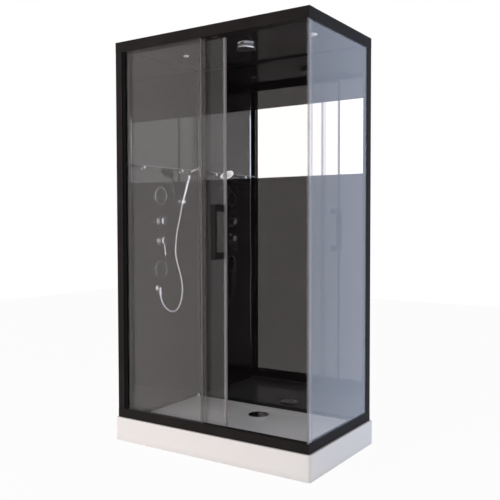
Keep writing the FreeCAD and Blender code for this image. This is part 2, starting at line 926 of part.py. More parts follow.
def wheel_pair(name, x):
    """Two rimmed wheels on one axle: recessed web, raised hub and a riveted axle head."""
    slot = track_slot / 2
    hub_start = hanger_thickness / 2 + 0.3
    inner = slot + 0.2
    outer = inner + wheel_width
    half_profile = [
        (0, 0),
        (axle_radius, 0),
        (axle_radius, hub_start),
        (5.0, hub_start),
        (5.0, inner),
        (wheel_radius - 0.6, inner),
        (wheel_radius, inner + 0.6),
        (wheel_radius, outer - 0.6),
        (wheel_radius - 0.6, outer),
        (8.5, outer),
        (8.0, outer - 1.5),
        (5.2, outer - 1.5),
        (4.2, outer - 0.2),
        (0, outer - 0.2),
    ]
    centre = (x, door_y, wheel_z)
    front_half = turned(half_profile, centre, (0, -1, 0))
    back_half = turned(half_profile, centre, (0, 1, 0))
    save(name, fuse([front_half, back_half]))


def track_stops():
    """Bumpers in the track that the wheels meet when the door is fully open or closed."""
    t = track_width / 2
    low = opening_high + track_lip
    high = low + track_height
    touch = wheel_radius + stop_play
    opened = hanger_places()["left"] - touch
    closed = hanger_places()["right"] + door_travel + touch
    stops = [
        box(opened - stop_length, opened, door_y - t, door_y + t, low, high),
        box(closed, closed + stop_length, door_y - t, door_y + t, low, high),
    ]
    save("track_stops", Part.makeCompound(stops))


def door_guides():
    """Shoes on the door's lower edge that run in the sill's groove."""
    half = guide_width / 2
    low = door_bottom - guide_depth
    high = opening_low - door_head_gap
    shoes = []
    for x in hanger_places().values():
        x0, x1 = x - guide_length / 2, x + guide_length / 2
        block = rounded_edges(
            box(x0, x1, door_y - half, door_y + half, low, high), 1.0, lambda edge: runs_along(edge, 2)
        )
        slot = box(x0, x1, door_y - half_glass, door_y + half_glass, door_bottom, high)
        shoes.append(block.cut(slot))
    save("door_guides", Part.makeCompound(shoes))


def door_seals():
    """Pale strip on the leading edge and finned strip on the trailing edge."""
    half = door_profile_width / 2
    z0 = opening_low + door_head_gap
    z1 = door_top - door_profile_height
    x0, x1 = door_right - seal_width, door_right + leading_seal_nose
    leading = box(x0, x1, door_y - half, door_y + half, z0, z1)
    leading = rounded_edges(
        leading, 2.0, lambda edge: runs_along(edge, 2) and edge.BoundBox.XMin > x1 - 0.01
    )
    slot = box(x0, door_right, door_y - half_glass, door_y + half_glass, z0, z1)
    save("door_leading_seal", leading.cut(slot))
    x0 = door_left - trailing_seal_nose
    x1 = x0 + seal_width
    trailing = box(x0, x1, door_y - half, door_y + half, z0, z1)
    slot = box(door_left, x1, door_y - half_glass, door_y + half_glass, z0, z1)
    fin_tip = fixed_y + half_glass + fin_thickness + groove_play
    fin_x = door_left + 4.5
    fin = box(fin_x, fin_x + fin_thickness, fin_tip, door_y - half, z0, z1)
    save("door_trailing_seal", fuse([trailing.cut(slot), fin]))


# ---------------------------------------------------------------- door handle
def door_handle():
    """C-shaped pull handle outside, two round caps inside, bolted through bushes in the glass."""
    glass_front, glass_back = door_y - half_glass, door_y + half_glass
    x0, x1 = handle_x - handle_width / 2, handle_x + handle_width / 2
    z0, z1 = handle_low, handle_low + handle_length
    outer = box(x0, x1, glass_front - handle_reach, glass_front, z0, z1)
    outer = rounded_edges(
        outer, handle_edge_radius, lambda edge: edge.BoundBox.YMax < glass_front - handle_reach + 0.01
    )
    bar_back = glass_front - handle_reach + handle_bar
    window = box(x0, x1, bar_back, glass_front, z0 + handle_block, z1 - handle_block)
    window = rounded_edges(
        window, 4.0, lambda edge: runs_along(edge, 0) and edge.BoundBox.YMax < glass_front - 1
    )
    bolt_depth = 20.0
    cap_grip = 12.0
    bolts = []
    bores = []
    caps = []
    bushes = []
    for z in handle_bolt_places():
        bolt = ((handle_x, glass_front - bolt_depth, z), (handle_x, glass_back + cap_grip, z))
        bolts.append(rod(handle_bolt_radius, *bolt))
        bores.append(rod(handle_bolt_radius, *bolt))
        cap = turned(
            [
                (0, 0),
                (inner_cap_radius - 3, 0),
                (inner_cap_radius - 3, 4),
                (inner_cap_radius, 6),
                (inner_cap_radius, inner_cap_length - 3),
                (inner_cap_radius - 3, inner_cap_length),
                (0, inner_cap_length),
            ],
            (handle_x, glass_back, z),
            (0, 1, 0),
        )
        caps.append(cap.cut(bores[-1]))
        sleeve = rod(handle_bush_radius, (handle_x, glass_front, z), (handle_x, glass_back, z))
        bushes.append(sleeve.cut(bores[-1]))
    save("handle_outer", cut(outer, [window] + bores))
    save("handle_inner_caps", Part.makeCompound(caps))
    save("handle_bolts", Part.makeCompound(bolts))
    save("handle_bushes", Part.makeCompound(bushes))


# ---------------------------------------------------------------- water fittings behind and on the left wall
body_back = left_wall_back - body_wall_gap + 10.0
pipe_x = left_wall_back - pipe_plane


def port(y, z, direction, reach, radius=pipe_radius + 2):
    """A round stub on a fitting body, in the plane of the pipes, from its centre outwards."""
    end = (pipe_x, y + direction[0] * reach, z + direction[1] * reach)
    return rod(radius, (pipe_x, y, z), end)


def fitting_body(y, z, radius, neck_radius, neck_end, ports):
    """Round body behind the wall with a neck through it and stubs for pipes."""
    parts = [rod(radius, (body_back, y, z), (left_wall_back, y, z))]
    parts.append(rod(neck_radius, (left_wall_back - 1, y, z), (neck_end, y, z)))
    for direction, reach in ports:
        parts.append(port(y, z, direction, reach))
    return fuse(parts)


def rosettes():
    """Round cover plates of the mixer and the diverter, with a low collar round each neck."""
    bore = fitting_neck_radius
    collar = bore + 3.0
    rise = rosette_thickness + 7.0
    rings = []
    for z in (mixer_z, diverter_z):
        profile = [
            (bore, 0),
            (rosette_radius, 0),
            (rosette_radius, rosette_thickness - 1.5),
            (rosette_radius - 1.5, rosette_thickness),
            (collar, rosette_thickness + 0.5),
            (collar - 1, rise),
            (bore, rise),
        ]
        rings.append(turned(profile, (left_wall, column_y, z), (1, 0, 0)))
    save("rosettes", Part.makeCompound(rings))


def mixer():
    """Single-lever mixer: body with two inlets, turning stem and the lever knob that tilts on it."""
    y, z = column_y, mixer_z
    neck_end = left_wall + 2
    body = fitting_body(y, z, fitting_radius, fitting_neck_radius, neck_end, [((0, 1), mixer_port_reach)])
    span = inlet_spacing / 2 + inlet_radius + 1.5
    wing_back = pipe_x - 9
    wings = box(wing_back, pipe_x + 9, y - span, y + span, z - 14, z + 14)
    wings = rounded_edges(wings, 4.0, lambda edge: runs_along(edge, 0))
    parts = [body, wings]
    for side in (-1, 1):
        iy = y + side * inlet_spacing / 2
        thread_end = wing_back - inlet_undercut_width
        parts.append(rod(inlet_radius, (wing_back - inlet_length, iy, z), (thread_end, iy, z)))
        parts.append(rod(inlet_radius - inlet_undercut, (thread_end, iy, z), (pipe_x, iy, z)))
    stem_hole = rod(stem_radius + running_clearance, (body_back + 8, y, z), (left_wall + 2, y, z))
    save("mixer_body", fuse(parts).cut(stem_hole))

    pivot_x = left_wall + knob_standoff + 2.5
    stem = rod(stem_radius, (body_back + 8.5, y, z), (pivot_x + 4, y, z))
    collar = rod(stem_radius + 3.5, (left_wall + 2.3, y, z), (left_wall + 6.0, y, z))
    pin_hole = rod(mixer_pin_radius + running_clearance, (pivot_x, y - 20, z), (pivot_x, y + 20, z))
    save("mixer_stem", fuse([stem, collar]).cut(pin_hole))

    knob_x = left_wall + knob_standoff
    knob = turned(
        [
            (0, 0),
            (knob_radius - 2, 0),
            (knob_radius, 2),
            (knob_radius, knob_length - 4),
            (knob_radius - 1.2, knob_length - 1.5),
            (knob_radius - 4, knob_length),
            (0, knob_length + 0.8),
        ],
        (knob_x, y, z),
        (1, 0, 0),
    )
    slot_half = stem_radius + 0.6
    tilt_room = stem_radius + 6.0
    pocket = box(knob_x - 1, pivot_x + 8, y - slot_half, y + slot_half, z - tilt_room, z + tilt_room)
    pin = rod(mixer_pin_radius, (pivot_x, y - knob_radius + 4, z), (pivot_x, y + knob_radius - 4, z))
    root = (knob_x + knob_length * 0.6, y, z - knob_radius + 4)
    tip = (root[0] + 7.0, y, z - knob_radius - lever_length + 4)
    bar = rod(lever_radius, root, tip)
    ball = Part.makeSphere(lever_radius, V(*tip))
    save("mixer_lever", fuse([knob.cut(pocket), pin, fuse([bar, ball])]))


def diverter():
    """Rotary diverter: body with a feed and three outlets, and the turning knob."""
    y, z = column_y, diverter_z
    up, aside = diverter_port_reach, diverter_side_reach
    ports = [((0, -1), up), ((0, 1), up), ((1, 0), aside), ((-1, 0), aside)]
    body = fitting_body(y, z, fitting_radius, fitting_neck_radius, left_wall + 2, ports)
    stem_hole = rod(stem_radius + running_clearance, (body_back + 8, y, z), (left_wall + 2, y, z))
    save("diverter_body", body.cut(stem_hole))
    knob_x = left_wall + 12.0
    stem_start = body_back + 8.5 - knob_x
    r, n = knob_radius, knob_length + knob_standoff - 12.0
    knob = turned(
        [
            (0, stem_start),
            (stem_radius, stem_start),
            (stem_radius, 0),
            (r - 2, 0),
            (r, 2),
            (r, n - 4),
            (r - 1.2, n - 1.5),
            (r - 4, n),
            (0, n + 0.8),
        ],
        (knob_x, y, z),
        (1, 0, 0),
    )
    ridge = rod(1.6, (knob_x + 3, y, z + r), (knob_x + n - 5, y, z + r))
    save("diverter_knob", fuse([knob, ridge]))


def wall_jets():
    """Two round wall jets: bodies behind the wall, low domed faces with a ring of nozzles."""
    y = column_y
    r = jet_radius
    bodies = []
    faces = []
    for z in (upper_jet_z, lower_jet_z):
        ports = [((-1, 0), jet_port_reach)]
        bodies.append(fitting_body(y, z, jet_neck_radius + 7, jet_neck_radius, left_wall, ports))
        profile = [
            (0, 0),
            (r, 0),
            (r, 2.5),
            (r - 0.8, 4.5),
            (r - 2.6, 6.0),
            (r - 6, 6.6),
            (r - 7.5, 5.6),
            (r * 0.55, jet_rise - 1.2),
            (r * 0.3, jet_rise - 0.3),
            (0, jet_rise),
        ]
        pieces = [turned(profile, (left_wall, y, z), (1, 0, 0))]
        for i in range(8):
            angle = math.radians(45 * i)
            ny, nz = y + 22 * math.cos(angle), z + 22 * math.sin(angle)
            nozzle = [(0, 0), (3.2, 0), (2.2, 5.2), (0, 5.2)]
            pieces.append(turned(nozzle, (left_wall + 5, ny, nz), (1, 0, 0)))
        faces.append(fuse(pieces))
    save("jet_bodies", Part.makeCompound(bodies))
    save("jet_faces", Part.makeCompound(faces))


def hose_outlet():
    """Wall elbow of the hand shower: tail behind the wall, small rosette and a spout that points down."""
    y, z = hose_outlet_y, hose_outlet_z
    nose_x = hose_route[0][0]
    tail = rod(outlet_tail_radius, (body_back + 8, y, z), (left_wall, y, z))
    inlet = port(y, z, (1, 0), outlet_port_reach)
    flange = turned([(0, 0), (19, 0), (19, 2), (16, 4), (0, 5)], (left_wall, y, z), (1, 0, 0))
    neck = rod(9.0, (left_wall, y, z), (nose_x, y, z))
    knuckle = Part.makeSphere(9.0, V(nose_x, y, z))
    spout = turned([(0, 0), (9, 0), (9, 3), (10, 4), (10, 12), (0, 12)], (nose_x, y, z), (0, 0, -1))
    save("hose_outlet", fuse([tail, inlet, flange, neck, knuckle, spout]))


def pipe_run(start, end):
    """A straight length of pipe."""
    return rod(pipe_radius, start, end).cut(rod(pipe_bore, start, end))


def wall_pipes():
    """Pipes behind the wall: mixer to diverter, diverter to both jets, diverter to the hose outlet."""
    y = column_y
    up, aside = diverter_port_reach, diverter_side_reach
    feed = pipe_run((pipe_x, y, mixer_z + mixer_port_reach), (pipe_x, y, diverter_z - up))

    jet_line_y = y - jet_line_offset
    foot, head = (pipe_x, jet_line_y, lower_jet_z), (pipe_x, jet_line_y, upper_jet_z)
    branches = [rod(pipe_radius, foot, head)]
    bores = [rod(pipe_bore, foot, head)]
    for z, reach in ((lower_jet_z, jet_port_reach), (diverter_z, aside), (upper_jet_z, jet_port_reach)):
        elbow, end = (pipe_x, jet_line_y, z), (pipe_x, y - reach, z)
        branches.append(Part.makeSphere(pipe_radius, V(*elbow)))
        branches.append(rod(pipe_radius, elbow, end))
        bores.append(rod(pipe_bore, elbow, end))
    to_jets = cut(fuse(branches), bores)

    hose_line_y = y + aside + pipe_bend + pipe_straight
    to_hose = pipe(
        [
            (pipe_x, y + aside, diverter_z),
            (pipe_x, hose_line_y, diverter_z),
            (pipe_x, hose_line_y, hose_outlet_z),
            (pipe_x, hose_outlet_y + outlet_port_reach, hose_outlet_z),
        ]
    )
    save("wall_pipes", Part.makeCompound([feed, to_jets, to_hose]))


def rain_pipe():
    """Riser behind the wall that crosses over the roof and drops to the rain head."""
    y = column_y
    over_roof = roof_top + head_pipe_z
    riser_y = y + riser_offset
    outlet_z = diverter_z + diverter_port_reach
    first_bend_z = outlet_z + pipe_bend + pipe_straight
    bends = [pipe_bend] * 4 + [head_pipe_bend]
    run = [
        (pipe_x, y, outlet_z),
        (pipe_x, y, first_bend_z),
        (pipe_x, riser_y, first_bend_z),
        (pipe_x, riser_y, over_roof),
        (ceiling_row_x, riser_y, over_roof),
        (ceiling_row_x, ceiling_row_y, over_roof),
        (ceiling_row_x, ceiling_row_y, roof_top + head_tail_rise),
    ]
    save("pipe_to_rain_head", pipe(run, bends))


# ---------------------------------------------------------------- shelf
def shelf():
    """Narrow glass shelf on two clamps."""
    x0, x1 = left_wall, left_wall + shelf_depth
    plate = box(x0, x1, shelf_low, shelf_high, shelf_z, shelf_z + shelf_thickness)
    plate = rounded_edges(
        plate, shelf_corner_radius, lambda edge: runs_along(edge, 2) and edge.BoundBox.XMin > x1 - 0.01
    )
    save("shelf_glass", plate)
    middle = (shelf_low + shelf_high) / 2
    r = bracket_radius
    pad_x = left_wall + bracket_reach - r
    clamps = []
    for side in (-1, 1):
        y = middle + side * shelf_bracket_offset
        stud = turned(
            [(0, 0), (r, 0), (r, 3), (r - 2, 5), (r - 3, bracket_reach - 2), (0, bracket_reach)],
            (left_wall, y, shelf_z - r),
            (1, 0, 0),
        )
        pad = rod(bracket_pad_radius, (pad_x, y, shelf_z - r + 3), (pad_x, y, shelf_z))
        clamps.append(fuse([stud, pad]))
    save("shelf_brackets", Part.makeCompound(clamps))


# ---------------------------------------------------------------- hand shower
lean = math.radians(handset_lean)
handset_axis = (math.sin(lean), 0.0, math.cos(lean))


def on_handset(distance):
    """A point on the handset's axis, at a distance from its foot."""
    return (foot_x + handset_axis[0] * distance, foot_y, foot_z + handset_axis[2] * distance)


def hung(shape):
    """Places a piece of the handset, drawn upright with its head over +X, as it hangs in the holder."""
    turn = FreeCAD.Rotation(V(0, 0, 1), handset_turn)
    tip = FreeCAD.Rotation(V(0, 1, 0), handset_lean)
    place = FreeCAD.Placement(V(foot_x, foot_y, foot_z), tip.multiply(turn))
    shape.Placement = place.multiply(shape.Placement)
    return shape


def handset_holder():
    """Cradle on the wall: a split cone round the hose nut, an arm and a rosette."""
    low = (nut_length - holder_height) / 2
    high = low + holder_height
    slope = (nut_large_radius - nut_small_radius) / nut_length
    r0 = nut_small_radius + slope * low + holder_gap
    r1 = nut_small_radius + slope * high + holder_gap
    outer = r1 + holder_wall
    h = holder_height
    ring = turned([(0, 0), (outer, 0), (outer, h), (0, h)], on_handset(low), handset_axis)
    well = turned([(0, 0), (r0, 0), (r1, h), (0, h)], on_handset(low), handset_axis)
    half = holder_slot / 2
    slot = box(foot_x, foot_x + 40, foot_y - half, foot_y + half, foot_z - 5, foot_z + 60)
    middle = on_handset((low + high) / 2)
    inner = (r0 + r1) / 2
    root = (left_wall, foot_y, middle[2])
    arm = rod(7.0, root, (middle[0] - inner - holder_wall / 2, foot_y, middle[2]))
    flange = turned([(0, 0), (17, 0), (17, 1.0), (16.7, 2.2, 15.5, 2.6), (0, 3.0)], root, (1, 0, 0))
    wall = box(left_wall - 20, left_wall, foot_y - 40, foot_y + 40, foot_z - 40, foot_z + 40)
    save("handset_holder", cut(fuse([ring, arm, flange]), [well, slot, wall]))


def hand_shower():
    """Handset: conical hose nut, grip that swells in the middle, bent neck and a tilted round head."""
    profile = [(0, 0), (nut_small_radius, 0), (nut_large_radius, nut_length), (0, nut_length)]
    nut = turned(profile, (0, 0, 0))
    save("hose_nut", hung(nut))

    angle = math.radians(head_angle)
    along = V(math.sin(angle), 0, math.cos(angle))
    spray = V(math.cos(angle), 0, -math.sin(angle))
    face_centre = V(head_out, 0, head_up)
    middle = face_centre - spray * (head_depth / 2)
    bend = middle - along * (middle.x / along.x)
    upright = V(0, 0, 1)
    sections = [
        (V(0, 0, nut_length), upright, grip_end_radius),
        (V(0, 0, bend.z * 0.38), upright, grip_radius - 0.4),
        (V(0, 0, bend.z * 0.58), upright, grip_radius),
        (V(0, 0, bend.z * 0.78), upright, grip_radius - 1.4),
        (bend - upright * 12.0, upright, neck_radius + 0.8),
        (bend + (along - upright) * 0.8, upright + along, neck_radius),
        (bend + along * 13.0, along, neck_radius - 0.6),
    ]
    rings = [Part.Wire(Part.makeCircle(radius, centre, normal)) for centre, normal, radius in sections]
    grip = Part.makeLoft(rings, True, False)
    r, d = head_radius, head_depth
    back = (-spray.x, 0, -spray.z)
    head = turned(
        [
            (0, 0),
            (r - 2.5, 0),
            (r - 0.7, 0.8, r, 2.6),
            (r, 3.4),
            (r - 1.6, 7.0, r - 5.5, 9.4),
            (r * 0.55, d - 1.4, 0, d),
        ],
        (face_centre.x, 0, face_centre.z),
        back,
    )
    save("hand_shower", hung(fuse([grip, head])))
    plate_radius = nozzle_plate_radius
    plate = turned(
        [(0, -nozzle_plate_rise), (plate_radius - 1, -nozzle_plate_rise), (plate_radius, 0), (0, 0)],
        (face_centre.x, 0, face_centre.z),
        back,
    )
    save("hand_shower_face", hung(plate))


# The hose's route from the wall elbow down round its loop and up to the handset. Each point is its
# distance out of the wall, its step along the wall from the elbow and its height from the elbow.
hose_steps = [
    (16.0, 0.0, -12.0),
    (16.0, 0.0, -53.0),
    (17.0, 30.0, -105.0),
    (20.0, 82.0, -143.0),
    (21.0, 144.0, -142.0),
    (21.0, 182.0, -93.0),
    (21.0, 197.0, -19.0),
    (21.0, 181.0, 58.0),
    (21.0, 150.0, 128.0),
    (19.0, 132.0, 192.0),
    (16.0, 141.0, 258.0),
    (13.0, 156.0, 324.0),
    (10.0, 179.0, 380.0),
    (8.5, 196.0, 426.0),
    (9.5, 202.5, 456.0),
]
hose_route = [(left_wall + out, hose_outlet_y + step, hose_outlet_z + rise) for out, step, rise in hose_steps]
hose_route += [on_handset(-16.0), on_handset(0.0)]


def shower_hose():
    """Hose between the wall elbow and the hand shower, as straight runs and tangent arcs."""
    points = [V(*p) for p in hose_route]
    radii = []
    for i in range(1, len(points) - 1):
        before, after = points[i] - points[i - 1], points[i + 1] - points[i]
        half = before.getAngle(after) / 2
        radii.append(0.45 * min(before.Length, after.Length) / math.tan(half))
    print("hose radii", [round(r) for r in radii])
    path = bent_path(hose_route, radii)
    hose = swept(path, hose_radius)
    section = math.pi * hose_radius**2
    ratio = hose.Volume / (section * path.Length)
    print("hose length", round(path.Length, 1), "volume ratio", round(ratio, 4))
    save("shower_hose", hose)


# ---------------------------------------------------------------- ceiling fixtures
def rain_head():
    """Round rain head under the roof: threaded tail and clamp nut above, low domed disc below."""
    x, y = ceiling_row_x, ceiling_row_y
    r = rain_radius
    tail_top = roof_top + head_tail_rise
    disc = turned(
        [
            (0, -rain_thickness),
            (r * 0.5, -rain_thickness + 0.4),
            (r - 6, -rain_thickness + 1.2),
            (r - 1.5, -rain_thickness + 3),
            (r, -rain_thickness + 5),
            (r - 1, -1.5),
            (r - 3, 0),
            (0, 0),
        ],
        (x, y, roof_under),
    )
    tail_radius = pipe_radius + 2.5
    nut_play = 0.1
    tail = rod(tail_radius, (x, y, roof_under - 1), (x, y, tail_top))
    feed = rod(pipe_bore, (x, y, roof_under - rain_thickness + 3.0), (x, y, tail_top))
    save("rain_head", fuse([disc, tail]).cut(feed))
    bore = tail_radius + nut_play
    nut = turned([(bore, 0), (18, 0), (18, 2), (15, 2), (15, 3.5), (bore, 3.5)], (x, y, roof_top))
    save("rain_head_nut", nut)


def ceiling_spots():
    """Two small round spots: bezel with a barrel through the roof, and the lens in it."""
    bezels = []
    lenses = []
    r = spot_radius
    for side in (-1, 1):
        x, y = ceiling_row_x + side * spot_spacing, ceiling_row_y
        bezels.append(
            turned(
                [
                    (r - 7, 14),
                    (r - 5.2, 14),
                    (r - 5.2, 0),
                    (r, 0),
                    (r, -1.5),
                    (r - 1.5, -4),
                    (r - 5, -spot_rise),
                    (r - 7, -spot_rise + 1),
                ],
                (x, y, roof_under),
            )
        )
        lens = [(0, 8), (r - 7, 8), (r - 7, -spot_rise + 2), (6, -spot_rise), (0, -spot_rise)]
        lenses.append(turned(lens, (x, y, roof_under)))
    save("spot_bezels", Part.makeCompound(bezels))
    save("spot_lenses", Part.makeCompound(lenses))


# ---------------------------------------------------------------- build
shower_tray()
tray_frame()
tray_feet()
drain_trap()
drain_flange()
drain_cover()
front_left_post()
back_left_post()
back_right_post()
top_front_rail()
bottom_front_rail()
top_right_rail()
bottom_right_rail()
wall_rails()
rail_end_caps()
wall_channel()
left_wall_panel()
back_wall_panels()
roof_panel()
fixed_front_pane()
fixed_pane_seal()
side_pane()
corner_edge_strip()
closing_strip()
door_glass()
door_top_profile()
door_hangers()
for side_name, hanger_x in hanger_places().items():
    wheel_pair("wheel_pair_" + side_name, hanger_x)
track_stops()
door_guides()
door_seals()
door_handle()
mixer()
diverter()
rosettes()
wall_jets()
hose_outlet()
wall_pipes()
rain_pipe()
shelf()
handset_holder()
hand_shower()
shower_hose()
rain_head()
ceiling_spots()
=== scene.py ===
# %% [markdown]
# # Steam shower cabin: dressing the frame
# The imported model already holds every solid in its right place, in metres. This lesson gives
# each of them the finish of the real cabin and adds the fine pieces that a solid model leaves out.
# The frame's tools are loaded first.

# %% Load the frame
import bpy
import bmesh
import math
from mathutils import Matrix, Vector


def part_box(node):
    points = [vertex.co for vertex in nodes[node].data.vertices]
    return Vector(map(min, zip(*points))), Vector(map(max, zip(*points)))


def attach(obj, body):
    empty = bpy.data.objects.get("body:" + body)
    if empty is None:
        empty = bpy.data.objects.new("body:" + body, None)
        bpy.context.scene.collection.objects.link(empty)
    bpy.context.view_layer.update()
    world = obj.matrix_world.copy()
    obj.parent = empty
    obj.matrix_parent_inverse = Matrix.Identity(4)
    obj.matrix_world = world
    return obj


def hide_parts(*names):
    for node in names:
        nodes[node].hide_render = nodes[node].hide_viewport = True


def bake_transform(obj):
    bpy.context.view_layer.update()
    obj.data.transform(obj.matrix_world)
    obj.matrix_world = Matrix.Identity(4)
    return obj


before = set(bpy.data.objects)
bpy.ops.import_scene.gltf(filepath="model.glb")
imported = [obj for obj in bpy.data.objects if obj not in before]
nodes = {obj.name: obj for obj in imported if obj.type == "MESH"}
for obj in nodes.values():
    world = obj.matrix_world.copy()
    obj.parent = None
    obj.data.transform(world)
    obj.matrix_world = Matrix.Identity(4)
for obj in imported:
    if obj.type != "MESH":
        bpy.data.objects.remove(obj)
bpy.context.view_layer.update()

# %% [markdown]
# ## Camera
# The cabin was photographed from the front right, from a little above its middle. The numbers
# below were solved from the vanishing points of the rails and the height of the tray, so the
# render and the photograph can be laid over each other.

# %% Camera
camera_place = Vector((2.08670608, -3.09422334, 1.17229299))
camera_yaw = 0.582562134
camera_pitch = -0.0374555806
camera_roll = -0.00191961379
sensor_width = 36.0
image_width = 500
focal_pixels = 698.483742


def camera_turn(yaw, pitch, roll):
    """The camera's rotation: it looks along its own -Z with +Y up."""
    look = Vector(
        (-math.sin(yaw) * math.cos(pitch), math.cos(yaw) * math.cos(pitch), math.sin(pitch))
    )
    level = Vector((math.cos(yaw), math.sin(yaw), 0))
    upright = level.cross(look)
    right = math.cos(roll) * level + math.sin(roll) * upright
    up = -math.sin(roll) * level + math.cos(roll) * upright
    return Matrix((right, up, -look)).transposed()


camera = bpy.data.objects.new("camera", bpy.data.cameras.new("camera"))
bpy.context.scene.collection.objects.link(camera)
camera.data.sensor_width = sensor_width
camera.data.lens = focal_pixels * sensor_width / image_width
camera.matrix_world = Matrix.Translation(camera_place) @ camera_turn(
    camera_yaw, camera_pitch, camera_roll
).to_4x4()
bpy.context.scene.camera = camera
print("lens", round(camera.data.lens, 2), "mm")

# %% [markdown]
# ## A small language for finishes
# A shader is a graph of nodes, and long graphs are hard to read as code. Here one class wraps a
# socket, so that a formula such as `0.2 + 0.1 * grain` adds its Math nodes by itself, and one
# method adds every other kind of node.

# %% Sockets and finishes
class Wire:
    """One socket of a shader. Python's operators on it add Math nodes."""

    def __init__(self, finish, socket):
        self.finish = finish
        self.socket = socket

    def math(self, operation, *values):
        inputs = dict(enumerate(values))
        return self.finish.node("ShaderNodeMath", {"operation": operation}, inputs)

    def __add__(self, other):
        return self.math("ADD", self, other)

    def __radd__(self, other):
        return self.math("ADD", other, self)

    def __sub__(self, other):
        return self.math("SUBTRACT", self, other)

    def __rsub__(self, other):
        return self.math("SUBTRACT", other, self)

    def __mul__(self, other):
        return self.math("MULTIPLY", self, other)

    def __rmul__(self, other):
        return self.math("MULTIPLY", other, self)

    def __truediv__(self, other):
        return self.math("DIVIDE", self, other)

    def __pow__(self, other):
        return self.math("POWER", self, other)


class Finish:
    """A material, or the world, whose nodes come from one method."""

    def __init__(self, owner):
        self.owner = owner
        owner.use_nodes = True
        self.tree = owner.node_tree
        self.tree.nodes.clear()

    def node(self, kind, settings=None, inputs=None, output=0):
        """Adds a node, with its settings and its sockets, and returns one output as a Wire."""
        made = self.tree.nodes.new(kind)
        for name, value in (settings or {}).items():
            setattr(made, name, value)
        for name, value in (inputs or {}).items():
            if isinstance(value, Wire):
                self.tree.links.new(value.socket, made.inputs[name])
            else:
                made.inputs[name].default_value = value
        return Wire(self, made.outputs[output])

    def mix(self, share, first, second):
        """A colour between two others: all of the second where share is 1."""
        inputs = {0: share, 6: first, 7: second}
        return self.node("ShaderNodeMix", {"data_type": "RGBA"}, inputs, 2)

    def place(self, stretch=(1, 1, 1)):
        """Object coordinates, stretched, so that a pattern keeps its real size."""
        here = self.node("ShaderNodeTexCoord", output="Object")
        return self.node("ShaderNodeMapping", None, {"Vector": here, "Scale": stretch})

    def noise(self, scale, detail=2.0, roughness=0.5, stretch=(1, 1, 1)):
        """Soft random patches, scale of them to a metre, from 0 to 1."""
        here = self.place(stretch)
        inputs = {"Vector": here, "Scale": scale, "Detail": detail, "Roughness": roughness}
        return self.node("ShaderNodeTexNoise", None, inputs, "Fac")

    def ramp(self, value, low, high):
        """value stretched so that low becomes 0 and high becomes 1, and held there."""
        inputs = {"Value": value, "From Min": low, "From Max": high}
        return self.node("ShaderNodeMapRange", None, inputs, "Result")

    def bump(self, height, distance):
        """A normal from a height of 0 to 1 that stands for a real distance in metres."""
        inputs = {"Height": height, "Distance": distance, "Strength": 1.0}
        return self.node("ShaderNodeBump", None, inputs, "Normal")

    def surface(self, inputs):
        """The Principled shader with these sockets, shown on the material."""
        self.show(self.node("ShaderNodeBsdfPrincipled", None, inputs))

    def show(self, shader):
        """Ends the graph: this shader is what the material or the world shows."""
        in_world = isinstance(self.owner, bpy.types.World)
        kind = "ShaderNodeOutputWorld" if in_world else "ShaderNodeOutputMaterial"
        end = self.tree.nodes.new(kind)
        self.tree.links.new(shader.socket, end.inputs["Surface"])


def new_finish(name):
    return Finish(bpy.data.materials.new(name))


def grey(value):
    return (value, value, value, 1.0)


def darker(colour, share):
    """The colour with this share of its light, and opaque."""
    return tuple(value * share for value in colour[:3]) + (1.0,)


print("finish tools ready")

# %% [markdown]
# ## Frame profiles
# The posts and rails are extruded aluminium with a dark satin coat. Such a coat is almost black
# and only a little glossy, with a fine stipple, and the drawn profile leaves faint lines along
# its length. The lines have to follow each profile, so the finish is made once for each of the
# three directions.

# %% Satin coated aluminium
frame_colour = (0.0160, 0.0140, 0.0142, 1.0)
frame_colour_worn = (0.0205, 0.0185, 0.0187, 1.0)
frame_specular = 0.03
line_stretch = 0.012


def satin_profile(axis):
    """Dark satin coat on a profile that runs along axis 0, 1 or 2."""
    finish = new_finish("satin_coat_" + "xyz"[axis])
    along = [1.0, 1.0, 1.0]
    along[axis] = line_stretch
    lines = finish.noise(900.0, 3.0, 0.6, along)
    stipple = finish.noise(2600.0, 1.0)
    patches = finish.noise(6.0, 3.0)
    worn = finish.ramp(patches * 0.7 + lines * 0.3, 0.40, 0.62)
    finish.surface(
        {
            "Base Color": finish.mix(worn, frame_colour, frame_colour_worn),
            "Roughness": 0.36 + 0.10 * lines + 0.06 * patches,
            "Specular IOR Level": frame_specular,
            "Normal": finish.bump(stipple * 0.7 + lines * 0.3, 0.00003),
        }
    )
    return finish.owner


satin = [satin_profile(axis) for axis in range(3)]
print("profile finishes", [material.name for material in satin])

# %% [markdown]
# ## Glass
# Three kinds of flat glass meet here. The clear safety glass of the front and side only shows
# itself by what it mirrors, and its refractive index says how much that is. The walls and the
# roof are black backed glass with a deep shine, and the strip in the back wall is a mirror. Both
# are glossy on the room's side only: their backs are painted, dull and dark. A faint wave from
# the toughening rollers bends the reflections, and the clear panes let the lamps through.

# %% Clear glass
ground_blend = 0.0008
lamp_tint = (0.86, 0.87, 0.87, 1.0)
ground_dark = (0.50, 0.55, 0.54, 1.0)
ground_pale = (0.66, 0.70, 0.69, 1.0)


